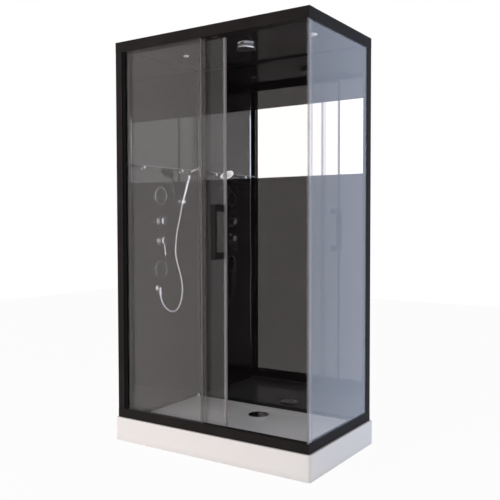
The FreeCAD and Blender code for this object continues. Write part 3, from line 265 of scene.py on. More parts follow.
def clear_pane_finish(name, body, bending, ground_from=None, ground_share=0.0):
    """Safety glass with its body colour and its refractive index.

    Beyond ground_from, a place along x, ground_share of it is the pale ground edge.
    """
    finish = new_finish(name)
    wave = finish.noise(2.2, 1.0, 0.4, (0.35, 1.0, 1.0))
    pane = finish.node(
        "ShaderNodeBsdfPrincipled",
        None,
        {
            "Base Color": body,
            "Roughness": 0.0,
            "IOR": bending,
            "Transmission Weight": 1.0,
            "Normal": finish.bump(wave, 0.00006),
        },
    )
    lamp_ray = finish.node("ShaderNodeLightPath", output="Is Shadow Ray")
    passed = finish.node("ShaderNodeBsdfTransparent", None, {"Color": lamp_tint})
    shown = finish.node("ShaderNodeMixShader", None, {0: lamp_ray, 1: pane, 2: passed})
    if ground_from is not None:
        across = finish.node("ShaderNodeSeparateXYZ", None, {"Vector": finish.place()}, "X")
        ground = finish.noise(1400.0, 2.0)
        edge = finish.node(
            "ShaderNodeBsdfPrincipled",
            None,
            {
                "Base Color": finish.mix(ground, ground_dark, ground_pale),
                "Roughness": 0.30 + 0.2 * ground,
            },
        )
        share = ground_share * finish.ramp(across, ground_from, ground_from + ground_blend)
        shown = finish.node("ShaderNodeMixShader", None, {0: share, 1: shown, 2: edge})
    finish.show(shown)
    return finish.owner


front_body = (0.945, 0.94, 0.935, 1.0)
side_body = (0.955, 0.96, 0.965, 1.0)
front_bending = 1.295
side_bending = 1.50
pane_edge_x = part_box("fixed_front_pane")[1][0] - 0.0018
shelf_edge_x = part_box("shelf_glass")[1][0] - 0.0015
front_glass = clear_pane_finish("front_glass", front_body, front_bending)
edged_front_glass = clear_pane_finish(
    "edged_front_glass", front_body, front_bending, pane_edge_x, 0.45
)
side_glass = clear_pane_finish("side_glass", side_body, side_bending)
shelf_pane = clear_pane_finish("shelf_pane", side_body, side_bending, shelf_edge_x, 0.30)


# %% Black glass and mirror
paint_colour = (0.011, 0.011, 0.012, 1.0)
backing_colour = (0.085, 0.092, 0.098, 1.0)
black_bending = 1.56
left_back_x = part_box("left_wall_panel")[0][0]
back_face_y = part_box("back_wall_panels")[0][1]
roof_top_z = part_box("roof_panel")[1][2]
# Where the paint on each back begins and where it is whole, from the frame's own faces.
left_paint = ("X", left_back_x + 0.0020, left_back_x + 0.0015)
back_paint = ("Y", back_face_y + 0.0020, back_face_y + 0.0026)
roof_paint = ("Z", roof_top_z - 0.0010, roof_top_z - 0.0005)


def painted_back(finish, paint):
    """1 on the painted back of a glass panel and 0 elsewhere, by the place along an axis."""
    axis, start, end = paint
    place = finish.node("ShaderNodeSeparateXYZ", None, {"Vector": finish.place()}, axis)
    return finish.ramp(place, start, end)


def black_glass_finish(name, depth, paint):
    """Black backed glass: depth is how much of its body colour shows."""
    finish = new_finish(name)
    back = painted_back(finish, paint)
    wave = finish.noise(1.6, 1.0, 0.4)
    smears = finish.ramp(finish.noise(7.0, 5.0, 0.62, (1.0, 1.0, 0.45)), 0.45, 0.75)
    clean = (0.0060 * depth, 0.0048 * depth, 0.0050 * depth, 1.0)
    wiped = (0.0080 * depth, 0.0066 * depth, 0.0068 * depth, 1.0)
    finish.surface(
        {
            "Base Color": finish.mix(back, finish.mix(smears, clean, wiped), paint_colour),
            "Roughness": 0.012 + 0.03 * smears + 0.6 * back,
            "IOR": black_bending,
            "Normal": finish.bump(wave, 0.00004),
        }
    )
    return finish.owner


def mirror_finish():
    finish = new_finish("mirror_glass")
    back = painted_back(finish, back_paint)
    smears = finish.ramp(finish.noise(9.0, 4.0, 0.6), 0.5, 0.8)
    silver = finish.mix(smears, (0.965, 0.97, 0.975, 1.0), (0.945, 0.95, 0.95, 1.0))
    finish.surface(
        {
            "Base Color": finish.mix(back, silver, backing_colour),
            "Metallic": 1.0 - back,
            "Roughness": 0.008 + 0.02 * smears + 0.5 * back,
        }
    )
    return finish.owner


left_black_glass = black_glass_finish("left_black_glass", 1.0, left_paint)
back_black_glass = black_glass_finish("back_black_glass", 1.0, back_paint)
roof_glass = black_glass_finish("roof_glass", 5.0, roof_paint)
mirror_glass = mirror_finish()
print("glass finishes ready")

# %% [markdown]
# ## Tray
# The tray is moulded acrylic on a glass fibre back. It is white, shiny, and very slightly
# uneven, as vacuum formed sheet is. Near the floor its colour turns patchily grey: this is
# painted shade where the tray meets the floor.

# %% Moulded acrylic
# Height, in metres, below which the tray's colour carries a painted shade.
floor_shade_height = 0.030


def acrylic_finish():
    finish = new_finish("tray_acrylic")
    soft = finish.noise(4.0, 2.0)
    peel = finish.noise(420.0, 1.0)
    height = finish.node("ShaderNodeSeparateXYZ", None, {"Vector": finish.place()}, "Z")
    scuffs = finish.ramp(finish.noise(60.0, 4.0, 0.65, (1.0, 1.0, 3.0)), 0.56, 0.80)
    # Painted shade: a patchy grey that grows towards the floor, where the tray meets it.
    painted_floor_shade = finish.ramp(height, floor_shade_height, 0.0) * 0.5 * finish.noise(25.0, 3.0)
    clean = finish.mix(soft, (0.835, 0.832, 0.826, 1.0), (0.865, 0.860, 0.855, 1.0))
    finish.surface(
        {
            # The grey takes both the painted shade near the floor and the real scuff marks.
            "Base Color": finish.mix(painted_floor_shade + scuffs * 0.05, clean, (0.52, 0.50, 0.48, 1.0)),
            "Roughness": 0.16 + 0.10 * scuffs + 0.05 * soft,
            "Coat Weight": 0.35 - 0.2 * scuffs,
            "Coat Roughness": 0.06,
            "Normal": finish.bump(peel * 0.6 + soft * 0.4, 0.00006),
        }
    )
    return finish.owner


tray_acrylic = acrylic_finish()


# %% [markdown]
# ## Chromed fittings
# Knobs, jets, shelf clamps, hand shower and rain head are chromed. Chrome is a mirror, so its
# finish is nearly all reflection, broken only by wipe marks and by fine water spots. The hose and
# the face of the hand shower are the same metal with a softer gloss.

# %% Chrome
def chrome_finish(name, tint, gloss):
    """Chromed metal: gloss is the roughness of its clean places."""
    finish = new_finish(name)
    wipes = finish.noise(45.0, 4.0, 0.6, (1.0, 1.0, 0.3))
    spots = finish.node(
        "ShaderNodeTexVoronoi", None, {"Vector": finish.place(), "Scale": 260.0}, "Distance"
    )
    dried = finish.ramp(spots, 0.16, 0.06) * finish.ramp(finish.noise(18.0, 2.0), 0.5, 0.7)
    dull = darker(tint, 0.86)
    finish.surface(
        {
            "Base Color": finish.mix(dried * 0.6 + 0.15 * wipes, tint, dull),
            "Metallic": 1.0,
            "Roughness": gloss + 0.05 * wipes + 0.08 * dried,
        }
    )
    return finish.owner


chrome = chrome_finish("chrome", (0.80, 0.81, 0.83, 1.0), 0.045)
hose_chrome = chrome_finish("hose_chrome", (0.74, 0.745, 0.76, 1.0), 0.14)
satin_chrome = chrome_finish("satin_chrome", (0.80, 0.81, 0.82, 1.0), 0.20)
print("chrome ready")

# %% [markdown]
# ## Pipes, trap and steel under the tray
# The parts that the cabin hides are worth a look from behind. The cast valve bodies are raw
# brass, the pipes are copper with a tarnish that follows their handling, the tray frame is
# zinc coated steel with its crystal pattern, and the trap is grained white plastic.

# %% Brass and copper
def aged_metal(name, bright, dark, gloss, grain_size):
    """Bare metal that has tarnished in clouds, grain_size of them to a metre."""
    finish = new_finish(name)
    cloud = finish.noise(grain_size, 5.0, 0.6)
    grain = finish.noise(grain_size * 22.0, 2.0)
    tarnish = finish.ramp(cloud, 0.38, 0.66)
    finish.surface(
        {
            "Base Color": finish.mix(tarnish, bright, dark),
            "Metallic": 1.0 - 0.25 * tarnish,
            "Roughness": gloss + 0.22 * tarnish + 0.05 * grain,
            "Normal": finish.bump(grain, 0.00004),
        }
    )
    return finish.owner


brass_bright, brass_dark = (0.72, 0.52, 0.24, 1.0), (0.42, 0.29, 0.13, 1.0)
copper_bright, copper_dark = (0.86, 0.47, 0.30, 1.0), (0.44, 0.22, 0.14, 1.0)
raw_brass = aged_metal("raw_brass", brass_bright, brass_dark, 0.28, 26.0)
copper_pipe = aged_metal("copper_pipe", copper_bright, copper_dark, 0.22, 18.0)


# %% Zinc coated steel
def zinc_finish():
    finish = new_finish("zinc_steel")
    crystals = finish.node(
        "ShaderNodeTexVoronoi", None, {"Vector": finish.place(), "Scale": 110.0}, "Color"
    )
    shade = finish.node("ShaderNodeSeparateColor", None, {"Color": crystals}, "Red")
    streaks = finish.noise(40.0, 3.0, 0.6)
    finish.surface(
        {
            "Base Color": finish.mix(shade, (0.42, 0.43, 0.45, 1.0), (0.60, 0.61, 0.62, 1.0)),
            "Metallic": 0.9,
            "Roughness": 0.34 + 0.16 * shade + 0.08 * streaks,
            "Normal": finish.bump(streaks, 0.00005),
        }
    )
    return finish.owner


zinc_steel = zinc_finish()


# %% Moulded plastics and rubber
def moulded(name, colour, roughness, grain_scale, grain_depth, settings=None):
    """Plain moulded plastic: soft clouding in its colour and a fine spark-eroded grain."""
    finish = new_finish(name)
    cloud = finish.noise(14.0, 3.0)
    grain = finish.noise(grain_scale, 2.0)
    shaded = darker(colour, 0.88)
    inputs = {
        "Base Color": finish.mix(cloud, shaded, colour),
        "Roughness": roughness + 0.08 * grain,
        "Normal": finish.bump(grain, grain_depth),
    }
    inputs.update(settings or {})
    finish.surface(inputs)
    return finish.owner


white_plastic = moulded("white_plastic", (0.72, 0.72, 0.70, 1.0), 0.38, 900.0, 0.00005)
black_rubber = moulded("black_rubber", (0.012, 0.012, 0.013, 1.0), 0.55, 1200.0, 0.00005)
black_channel = moulded(
    "black_channel",
    (0.005, 0.005, 0.0052, 1.0),
    0.42,
    700.0,
    0.00003,
    {"Specular IOR Level": frame_specular},
)
nylon = moulded(
    "nylon", (0.62, 0.61, 0.57, 1.0), 0.32, 800.0, 0.00004, {"Subsurface Weight": 0.15}
)
nozzle_rubber = moulded("nozzle_rubber", (0.09, 0.092, 0.096, 1.0), 0.42, 1500.0, 0.00003)
jet_plate_black = moulded("jet_plate_black", (0.020, 0.020, 0.021, 1.0), 0.26, 900.0, 0.00002)
sealant = moulded(
    "black_sealant", grey(0.008), 0.40, 300.0, 0.00006, {"Specular IOR Level": 0.2}
)

# %% [markdown]
# ## Seals
# The strips on the glass edges are soft plastic. The one on the door's leading edge is milky, the
# fin on the fixed pane is smoke grey and the strips at the side pane are clear. All let light
# through, so their finish mixes a see-through part with a body colour. Where the milky strip
# clips on to the glass it is nearly clear.

# %% Seals
clip_open = 0.92
clip_blend = 0.001


def seal_finish(name, colour, open_share, roughness, clip_end=None):
    """Soft drawn strip: open_share of it is see-through, and nearly all of it before clip_end."""
    finish = new_finish(name)
    cloud = finish.noise(30.0, 3.0)
    drawn = finish.noise(700.0, 2.0, 0.5, (1.0, 1.0, 0.01))
    shaded = darker(colour, 0.9)
    body = finish.node(
        "ShaderNodeBsdfPrincipled",
        None,
        {
            "Base Color": finish.mix(cloud, shaded, colour),
            "Roughness": roughness + 0.08 * drawn,
            "Normal": finish.bump(drawn, 0.00003),
        },
    )
    clear = finish.node("ShaderNodeBsdfTransparent", None, {"Color": grey(1.0)})
    share = open_share
    if clip_end is not None:
        across = finish.node("ShaderNodeSeparateXYZ", None, {"Vector": finish.place()}, "X")
        on_glass = finish.ramp(across, clip_end, clip_end - clip_blend)
        share = open_share + (clip_open - open_share) * on_glass
    finish.show(finish.node("ShaderNodeMixShader", None, {0: share, 1: body, 2: clear}))
    return finish.owner


clip_end_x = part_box("door_glass")[1][0] - 0.0035
milky_seal = seal_finish("milky_seal", (0.31, 0.30, 0.295, 1.0), 0.45, 0.30, clip_end_x)
clear_seal = seal_finish("clear_seal", (0.42, 0.42, 0.43, 1.0), 0.88, 0.22)
smoke_seal = seal_finish("smoke_seal", (0.10, 0.095, 0.09, 1.0), 0.84, 0.28)


# %% Lamp lens
def lens_finish():
    finish = new_finish("lamp_lens")
    frost = finish.noise(500.0, 2.0)
    finish.surface(
        {
            "Base Color": finish.mix(frost, (0.72, 0.74, 0.76, 1.0), (0.86, 0.87, 0.88, 1.0)),
            "Roughness": 0.18 + 0.12 * frost,
            "Coat Weight": 0.6,
            "Normal": finish.bump(frost, 0.00006),
        }
    )
    return finish.owner


lamp_lens = lens_finish()
print("finishes", len(bpy.data.materials))

# %% [markdown]
# ## Who wears what
# Each solid of the model gets its finish by name. Profiles choose the direction of their drawn
# lines. A solid with several runs in it takes the direction of its longest ones.

# %% Dress the solids
dress = {
    "tray_acrylic": (tray_acrylic, ["shower_tray"]),
    "steel": (zinc_steel, ["tray_frame", "tray_feet", "door_hangers"]),
    "plastic": (white_plastic, ["drain_trap"]),
    "rails_x": (
        satin[0],
        ["top_front_rail", "bottom_front_rail", "wall_rails", "door_top_profile"],
    ),
    "rails_y": (satin[1], ["top_right_rail", "bottom_right_rail", "rail_end_caps"]),
    "posts": (
        satin[2],
        [
            "front_left_post", "back_left_post", "back_right_post",
            "handle_outer", "handle_inner_caps",
        ],
    ),
    "channel": (black_channel, ["wall_channel"]),
    "left_black": (left_black_glass, ["left_wall_panel"]),
    "back_black": (back_black_glass, ["back_wall_panels"]),
    "roof": (roof_glass, ["roof_panel"]),
    "mirror": (mirror_glass, ["mirror_strip"]),
    "front": (front_glass, ["door_glass"]),
    "front_edge": (edged_front_glass, ["fixed_front_pane"]),
    "side": (side_glass, ["side_pane"]),
    "shelf": (shelf_pane, ["shelf_glass"]),
    "milky": (milky_seal, ["door_leading_seal"]),
    "clear": (clear_seal, ["corner_edge_strip", "closing_strip"]),
    "smoke": (smoke_seal, ["fixed_pane_seal", "door_trailing_seal"]),
    "rubber": (black_rubber, ["track_stops"]),
    "nylon": (nylon, ["wheel_pair_left", "wheel_pair_right", "door_guides", "handle_bushes"]),
    "chrome": (
        chrome,
        [
            "drain_flange", "drain_cover", "handle_bolts",
            "mixer_lever", "diverter_knob", "rosettes", "jet_faces", "hose_outlet",
            "shelf_brackets", "handset_holder", "hose_nut", "hand_shower",
            "rain_head", "spot_bezels",
        ],
    ),
    "brass": (
        raw_brass,
        ["mixer_body", "mixer_stem", "diverter_body", "jet_bodies", "rain_head_nut"],
    ),
    "copper": (copper_pipe, ["wall_pipes", "pipe_to_rain_head"]),
    "face": (satin_chrome, ["hand_shower_face"]),
    "lens": (lamp_lens, ["spot_lenses"]),
}
for material, names in dress.values():
    for name in names:
        slots = nodes[name].data.materials
        slots.clear()
        slots.append(material)
bare = [name for name in nodes if not any(name in names for _, names in dress.values())]
print("solids without a finish yet", bare)

# %% [markdown]
# ## Shower hose
# The hose is a chromed steel spiral. Its route repeats the points of the solid model, as the
# control points of one smooth spline, and a tube with a real groove that winds round it follows
# that spline. A picture of a groove would vanish at the edge of the hose, where it shows most.

# %% Hose route
hose_radius = 0.007
hose_groove = 0.0007
hose_pitch = 0.0026
hose_steps_a_turn = 5
hose_sides = 18
hose_points = [
    (-0.529, -0.052, 0.794),
    (-0.529, -0.052, 0.753),
    (-0.528, -0.022, 0.701),
    (-0.525, 0.030, 0.663),
    (-0.524, 0.092, 0.664),
    (-0.524, 0.130, 0.713),
    (-0.524, 0.145, 0.787),
    (-0.524, 0.129, 0.864),
    (-0.524, 0.098, 0.934),
    (-0.526, 0.080, 0.998),
    (-0.529, 0.089, 1.064),
    (-0.532, 0.104, 1.130),
    (-0.535, 0.127, 1.186),
    (-0.5365, 0.144, 1.232),
    (-0.5355, 0.1505, 1.262),
    (-0.53378, 0.152, 1.27683),
    (-0.5287, 0.152, 1.292),
]


def spline_points(points):
    """Closely spaced points of the smooth spline that has these control points."""
    curve = bpy.data.curves.new("hose_line", "CURVE")
    curve.dimensions = "3D"
    curve.resolution_u = 64
    spline = curve.splines.new("NURBS")
    spline.points.add(len(points) - 1)
    for point, place in zip(spline.points, points):
        point.co = (*place, 1.0)
    spline.order_u = 3
    spline.use_endpoint_u = True
    holder = bpy.data.objects.new("hose_line", curve)
    bpy.context.scene.collection.objects.link(holder)
    bpy.context.view_layer.update()
    seen = holder.evaluated_get(bpy.context.evaluated_depsgraph_get())
    line = bpy.data.meshes.new_from_object(seen)
    found = [vertex.co.copy() for vertex in line.vertices]
    bpy.data.objects.remove(holder)
    bpy.data.meshes.remove(line)
    return found


def even_points(points, step):
    """Points at even steps along a line of many points."""
    length = sum((b - a).length for a, b in zip(points, points[1:]))
    count = round(length / step)
    gap = length / count
    found = [points[0]]
    travelled = 0.0
    for a, b in zip(points, points[1:]):
        piece = (b - a).length
        while len(found) <= count - 1 and len(found) * gap <= travelled + piece:
            found.append(a.lerp(b, (len(found) * gap - travelled) / piece))
        travelled += piece
    found.append(points[-1])
    return found, length


# %% Hose tube
def grooved_tube(name, points, radius, groove, pitch, sides, gap):
    """A closed tube along points, with a rounded groove that winds round it once a pitch."""
    shape = bmesh.new()
    side = Vector((0, 1, 0))
    rings = []
    for i, point in enumerate(points):
        before, after = points[max(i - 1, 0)], points[min(i + 1, len(points) - 1)]
        along = (after - before).normalized()
        side = (side - along * side.dot(along)).normalized()
        other = along.cross(side)
        ring = []
        for j in range(sides):
            angle = 2 * math.pi * j / sides
            phase = 2 * math.pi * (i * gap / pitch) - angle
            depth = groove * (0.5 - 0.5 * math.cos(phase)) ** 3
            reach = (radius - depth) * (side * math.cos(angle) + other * math.sin(angle))
            ring.append(shape.verts.new(point + reach))
        rings.append(ring)
    for low, high in zip(rings, rings[1:]):
        for j in range(sides):
            k = (j + 1) % sides
            shape.faces.new((low[j], low[k], high[k], high[j]))
    shape.faces.new(list(reversed(rings[0])))
    shape.faces.new(rings[-1])
    mesh = bpy.data.meshes.new(name)
    shape.to_mesh(mesh)
    shape.free()
    mesh.shade_smooth()
    piece = bpy.data.objects.new(name, mesh)
    bpy.context.scene.collection.objects.link(piece)
    return piece


hose_step = hose_pitch / hose_steps_a_turn
hose_line, hose_length = even_points(spline_points(hose_points), hose_step)
hose_gap = hose_length / (len(hose_line) - 1)
hose = grooved_tube(
    "hose_spiral", hose_line, hose_radius, hose_groove, hose_pitch, hose_sides, hose_gap
)
hose.data.materials.append(hose_chrome)
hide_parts("shower_hose")
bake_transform(hose)
print("hose length", round(hose_length, 3), "m, rings", len(hose_line))

# %% [markdown]
# ## Hands for modelling
# New pieces are modelled as by hand: a simple primitive, put in edit mode, where faces and edges
# are picked by their place and then inset, extruded and bevelled. The few helpers below pick
# faces and edges by a test, so that each piece reads as a list of such steps.

# %% Picking and editing
def deselect():
    bpy.ops.object.select_all(action="DESELECT")


def open_edit(piece):
    """Edit mode on this piece alone, with nothing picked."""
    deselect()
    piece.select_set(True)
    bpy.context.view_layer.objects.active = piece
    bpy.ops.object.mode_set(mode="EDIT")
    bpy.ops.mesh.select_all(action="DESELECT")


def pick_faces(piece, test):
    """Picks the faces whose centre and normal pass the test."""
    bpy.ops.mesh.select_mode(type="FACE")
    bpy.ops.mesh.select_all(action="DESELECT")
    shape = bmesh.from_edit_mesh(piece.data)
    shape.normal_update()
    for face in shape.faces:
        face.select_set(test(face.calc_center_median(), face.normal))
    bmesh.update_edit_mesh(piece.data)


def pick_edges(piece, test):
    """Picks the edges whose two ends pass the test."""
    bpy.ops.mesh.select_mode(type="EDGE")
    bpy.ops.mesh.select_all(action="DESELECT")
    shape = bmesh.from_edit_mesh(piece.data)
    for edge in shape.edges:
        edge.select_set(test(edge.verts[0].co, edge.verts[1].co))
    bmesh.update_edit_mesh(piece.data)


def close_edit(smooth=0.6):
    """Back to object mode, with soft shading across the flatter edges."""
    bpy.ops.object.mode_set(mode="OBJECT")
    bpy.ops.object.shade_smooth_by_angle(angle=smooth)


def settle(piece):
    """The object goes to the origin and its place goes into its mesh."""
    deselect()
    piece.select_set(True)
    bpy.context.view_layer.objects.active = piece
    bpy.ops.object.transform_apply(location=True, rotation=True, scale=True)


def block(name, low, high):
    """A box from its lowest to its highest corner, ready to be shaped."""
    deselect()
    middle = [(a + b) / 2 for a, b in zip(low, high)]
    bpy.ops.mesh.primitive_cube_add(size=1.0, location=middle)
    piece = bpy.context.object
    piece.name = name
    bpy.ops.object.mode_set(mode="EDIT")
    bpy.ops.transform.resize(value=[b - a for a, b in zip(low, high)])
    bpy.ops.object.mode_set(mode="OBJECT")
    settle(piece)
    return piece


def copies(name, model, turns):
    """Copies of a model, each with its own mesh put in place, joined as one piece."""
    made = []
    for turn in turns:
        other = model.copy()
        other.data = model.data.copy()
        other.data.transform(turn)
        bpy.context.scene.collection.objects.link(other)
        made.append(other)
    deselect()
    for other in made:
        other.select_set(True)
    bpy.context.view_layer.objects.active = made[0]
    if len(made) > 1:
        bpy.ops.object.join()
    made[0].name = name
    return made[0]


def dressed(piece, body, material):
    """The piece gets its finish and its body."""
    if material is not None:
        piece.data.materials.clear()
        piece.data.materials.append(material)
    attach(piece, body)
    print(piece.name, "faces", len(piece.data.polygons))
    return piece


# %% [markdown]
# ## Black sealant
# The glass walls stand in the tray and carry the roof, and every such joint is closed with a bead
# of black sealant, drawn off with a finger so that it is hollow. It hides the tray's edge and
# draws the thin dark line under the roof. A box with one long edge bevelled to a hollow profile
# gives just that.

# %% Sealant beads
near = 0.0001


def bead(name, low, high, room, width):
    """A bead in a corner. room is the sign, for each axis, of the side that faces the cabin."""
    piece = block(name, low, high)
    open_edit(piece)
    corner = [h if sign > 0 else a for a, h, sign in zip(low, high, room)]

    def on_free_edge(a, b):
        return all(
            sign == 0 or (abs(a[k] - corner[k]) < near and abs(b[k] - corner[k]) < near)
            for k, sign in enumerate(room)
        )

    pick_edges(piece, on_free_edge)
    bpy.ops.mesh.bevel(offset=width, segments=5, profile=0.25, affect="EDGES")
    close_edit(1.0)
    return piece


left_wall_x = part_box("left_wall_panel")[1][0]
back_wall_y = back_face_y
roof_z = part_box("roof_panel")[0][2]
back_end_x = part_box("back_right_post")[0][0]
front_end_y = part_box("left_wall_panel")[0][1]
tray_top_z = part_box("shower_tray")[1][2]
tray_bead = 0.0085
tray_bead_low = tray_top_z - 0.0122
tray_bead_high = tray_top_z + 0.0055
tray_bead_hollow = 0.007
roof_bead = 0.0085
roof_bead_hollow = 0.006
corner_bead = 0.005
corner_bead_hollow = 0.004
beads = [
    bead(
        "sealant_tray_back",
        (left_wall_x, back_wall_y - tray_bead, tray_bead_low),
        (back_end_x, back_wall_y, tray_bead_high),
        (0, -1, 1),
        tray_bead_hollow,
    ),
    bead(
        "sealant_tray_left",
        (left_wall_x, front_end_y, tray_bead_low),
        (left_wall_x + tray_bead, back_wall_y, tray_bead_high),
        (1, 0, 1),
        tray_bead_hollow,
    ),
    bead(
        "sealant_roof_back",
        (left_wall_x, back_wall_y - roof_bead, roof_z - roof_bead),
        (back_end_x, back_wall_y, roof_z),
        (0, -1, -1),
        roof_bead_hollow,
    ),
    bead(
        "sealant_roof_left",
        (left_wall_x, front_end_y, roof_z - roof_bead),
        (left_wall_x + roof_bead, back_wall_y, roof_z),
        (1, 0, -1),
        roof_bead_hollow,
    ),
    bead(
        "sealant_corner",
        (left_wall_x, back_wall_y - corner_bead, tray_top_z),
        (left_wall_x + corner_bead, back_wall_y, roof_z),
        (1, -1, 0),
        corner_bead_hollow,
    ),
]
for piece in beads:
    dressed(piece, "cabin", sealant)

# %% [markdown]
# ## Wall trim
# The left glass wall ends just behind the front post. A black clip covers its raw edge and the
# side of the post, and the clip's back is a polished slope. It shows as a bright upright line
# wherever it catches the mirror. The clip is a flat box; moving its outer back edge forward makes
# the slope.

# %% Trim
sill_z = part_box("bottom_front_rail")[1][2]
head_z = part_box("front_left_post")[1][2]
trim_thickness = 0.0035
trim_width = 0.026
trim_slope = 0.007
trim_round = 0.0006
trim_front_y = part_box("wall_channel")[1][1]
trim_back = front_end_y + trim_width
trim_out = left_wall_x + trim_thickness
trim = block(
    "wall_edge_trim",
    (left_wall_x, trim_front_y, sill_z),
    (trim_out, trim_back, head_z),
)
trim.data.materials.append(black_channel)
trim.data.materials.append(chrome)
open_edit(trim)


def on_outside(a, b):
    return min(a.x, b.x) > trim_out - near


pick_edges(trim, lambda a, b: on_outside(a, b) and min(a.y, b.y) > trim_back - near)
bpy.ops.transform.translate(value=(0, -trim_slope, 0))
pick_edges(trim, lambda a, b: on_outside(a, b) and abs(a.z - b.z) > 0.1)
bpy.ops.mesh.bevel(offset=trim_round, segments=2, affect="EDGES")
pick_faces(trim, lambda middle, normal: 0.1 < normal.y < 0.9)
trim.active_material_index = 1
bpy.ops.object.material_slot_assign()
close_edit(0.5)
dressed(trim, "cabin", None)

# %% [markdown]
# ## Glazing gaskets
# A pane never touches its aluminium rail. A soft black lip is pressed in on each side of it, and
# its sloping top sheds the water. Each lip is a long box whose outer edge is bevelled to a slope.
# They follow the fixed front pane and the side pane.

# %% Gaskets
lip_width = 0.0026
lip_height = 0.0045
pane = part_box("fixed_front_pane")
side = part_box("side_pane")
side_front_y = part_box("top_right_rail")[0][1]
side_back_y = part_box("back_right_post")[0][1]
front_start_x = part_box("wall_channel")[1][0]


def lip(name, low, high, slope):
    """A long gasket lip with its free long edge sloped: slope is the outward sign of each axis."""
    piece = bead(name, low, high, slope, lip_width * 0.8)
    return dressed(piece, "cabin", black_rubber)


for side_name, y0, y1, out in (
    ("outer", pane[0][1] - lip_width, pane[0][1], -1),
    ("inner", pane[1][1], pane[1][1] + lip_width, 1),
):
    lip(
        "gasket_front_sill_" + side_name,
        (front_start_x, y0, sill_z),
        (pane[1][0], y1, sill_z + lip_height),
        (0, out, 1),
    )
    lip(
        "gasket_front_head_" + side_name,
        (front_start_x, y0, head_z - lip_height),
        (pane[1][0], y1, head_z),
        (0, out, -1),
    )
for side_name, x0, x1, out in (
    ("outer", side[1][0], side[1][0] + lip_width, 1),
    ("inner", side[0][0] - lip_width, side[0][0], -1),
):
    lip(
        "gasket_side_sill_" + side_name,
        (x0, side_front_y, sill_z),
        (x1, side_back_y, sill_z + lip_height),
        (out, 0, 1),
    )
    lip(
        "gasket_side_head_" + side_name,
        (x0, side_front_y, head_z - lip_height),
        (x1, side_back_y, head_z),
        (out, 0, -1),
    )
    lip(
        "gasket_side_back_" + side_name,
        (x0, side_back_y - lip_height, sill_z),
        (x1, side_back_y, head_z),
        (out, -1, 0),
    )

# %% [markdown]
# ## Nozzles
# The water comes out of short rubber nozzles with a small hole. One is modelled from a thin
# cylinder: its end is bevelled, inset and pushed in. All the others are copies of it, laid out
# in rings on the jets, the rain head and the hand shower.

# %% One nozzle
nozzle_radius = 0.0014
nozzle_height = 0.0022
nozzle_sides = 12
nozzle_round = 0.0003
nozzle_rim = 0.00045
nozzle_hole = 0.0009
deselect()
bpy.ops.mesh.primitive_cylinder_add(
    vertices=nozzle_sides, radius=nozzle_radius, depth=nozzle_height, location=(0, 0, 0)
)
nozzle = bpy.context.object
nozzle.name = "nozzle_model"
open_edit(nozzle)
pick_edges(nozzle, lambda a, b: min(a.z, b.z) > nozzle_height * 0.4)
bpy.ops.mesh.bevel(offset=nozzle_round, segments=2, affect="EDGES")
pick_faces(nozzle, lambda middle, normal: normal.z > 0.9 and middle.length < nozzle_height)
bpy.ops.mesh.inset(thickness=nozzle_rim)
bpy.ops.mesh.extrude_region_move(TRANSFORM_OT_translate={"value": (0, 0, -nozzle_hole)})
close_edit(0.9)
print("nozzle faces", len(nozzle.data.polygons))


def facing(place, normal):
    """Where a nozzle stands: at this place, with its end along this direction."""
    turn = Vector(normal).to_track_quat("Z", "Y").to_matrix().to_4x4()
    return Matrix.Translation(Vector(place)) @ turn


def nozzle_rings(centre, normal, rings):
    """Places on rings round a centre: each ring is a radius and a number of nozzles."""
    stand = facing(centre, normal)
    found = []
    for radius, count in rings:
        for i in range(count):
            angle = 2 * math.pi * (i + 0.5) / count
            spot = (radius * math.cos(angle), radius * math.sin(angle), 0)
            found.append(stand @ Matrix.Translation(spot))
    return found


# %% [markdown]
# ## Body jets
# The two body jets are flat round fronts on the left wall: a thin chromed rim that holds a dark
# plate, with rubber nozzles in it. The cup starts as a cylinder on its side. Its front is inset
# to leave the rim, pushed in for the plate, and the rim's edges are rounded, which is what
# draws the thin bright ring.

# %% Jet cups
jet_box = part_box("jet_faces")
jet_radius = 0.049
jet_rise = 0.009
jet_front_x = left_wall_x + jet_rise
jet_y = (jet_box[0][1] + jet_box[1][1]) / 2
jet_heights = [jet_box[0][2] + jet_radius, jet_box[1][2] - jet_radius]
rim_width = 0.0035
rim_round = 0.0011
plate_depth = 0.0018
plate_seam = 0.0006
plate_border = 0.0105
plate_rise = 0.0005
plate_step = 0.0012


def jet_cup(name, z):
    """One jet front, with its plate in the second material slot."""
    deselect()
    bpy.ops.mesh.primitive_cylinder_add(
        vertices=96,
        radius=jet_radius,
        depth=jet_rise,
        location=(left_wall_x + jet_rise / 2, jet_y, z),
        rotation=(0, math.pi / 2, 0),
    )
    cup = bpy.context.object
    cup.name = name
    settle(cup)
    cup.data.materials.append(chrome)
    cup.data.materials.append(jet_plate_black)
    open_edit(cup)
    pick_faces(cup, lambda middle, normal: normal.x > 0.9)
    bpy.ops.mesh.inset(thickness=rim_width)
    bpy.ops.mesh.extrude_region_move(TRANSFORM_OT_translate={"value": (-plate_depth, 0, 0)})
    bpy.ops.mesh.inset(thickness=plate_seam)
    bpy.ops.mesh.inset(thickness=plate_border)
    bpy.ops.mesh.extrude_region_move(TRANSFORM_OT_translate={"value": (plate_rise, 0, 0)})
    bpy.ops.mesh.inset(thickness=plate_step)
    pick_edges(cup, lambda a, b: min(a.x, b.x) > jet_front_x - near)
    bpy.ops.mesh.bevel(offset=rim_round, segments=3, affect="EDGES")
    plate_x = jet_front_x - plate_depth + 0.0007
    plate_reach = jet_radius - rim_width - 0.0003

    def on_plate(middle, normal):
        out = math.hypot(middle.y - jet_y, middle.z - z)
        return normal.x > 0.2 and middle.x < plate_x and out < plate_reach

    pick_faces(cup, on_plate)
    cup.active_material_index = 1
    bpy.ops.object.material_slot_assign()
    close_edit(0.7)
    return cup


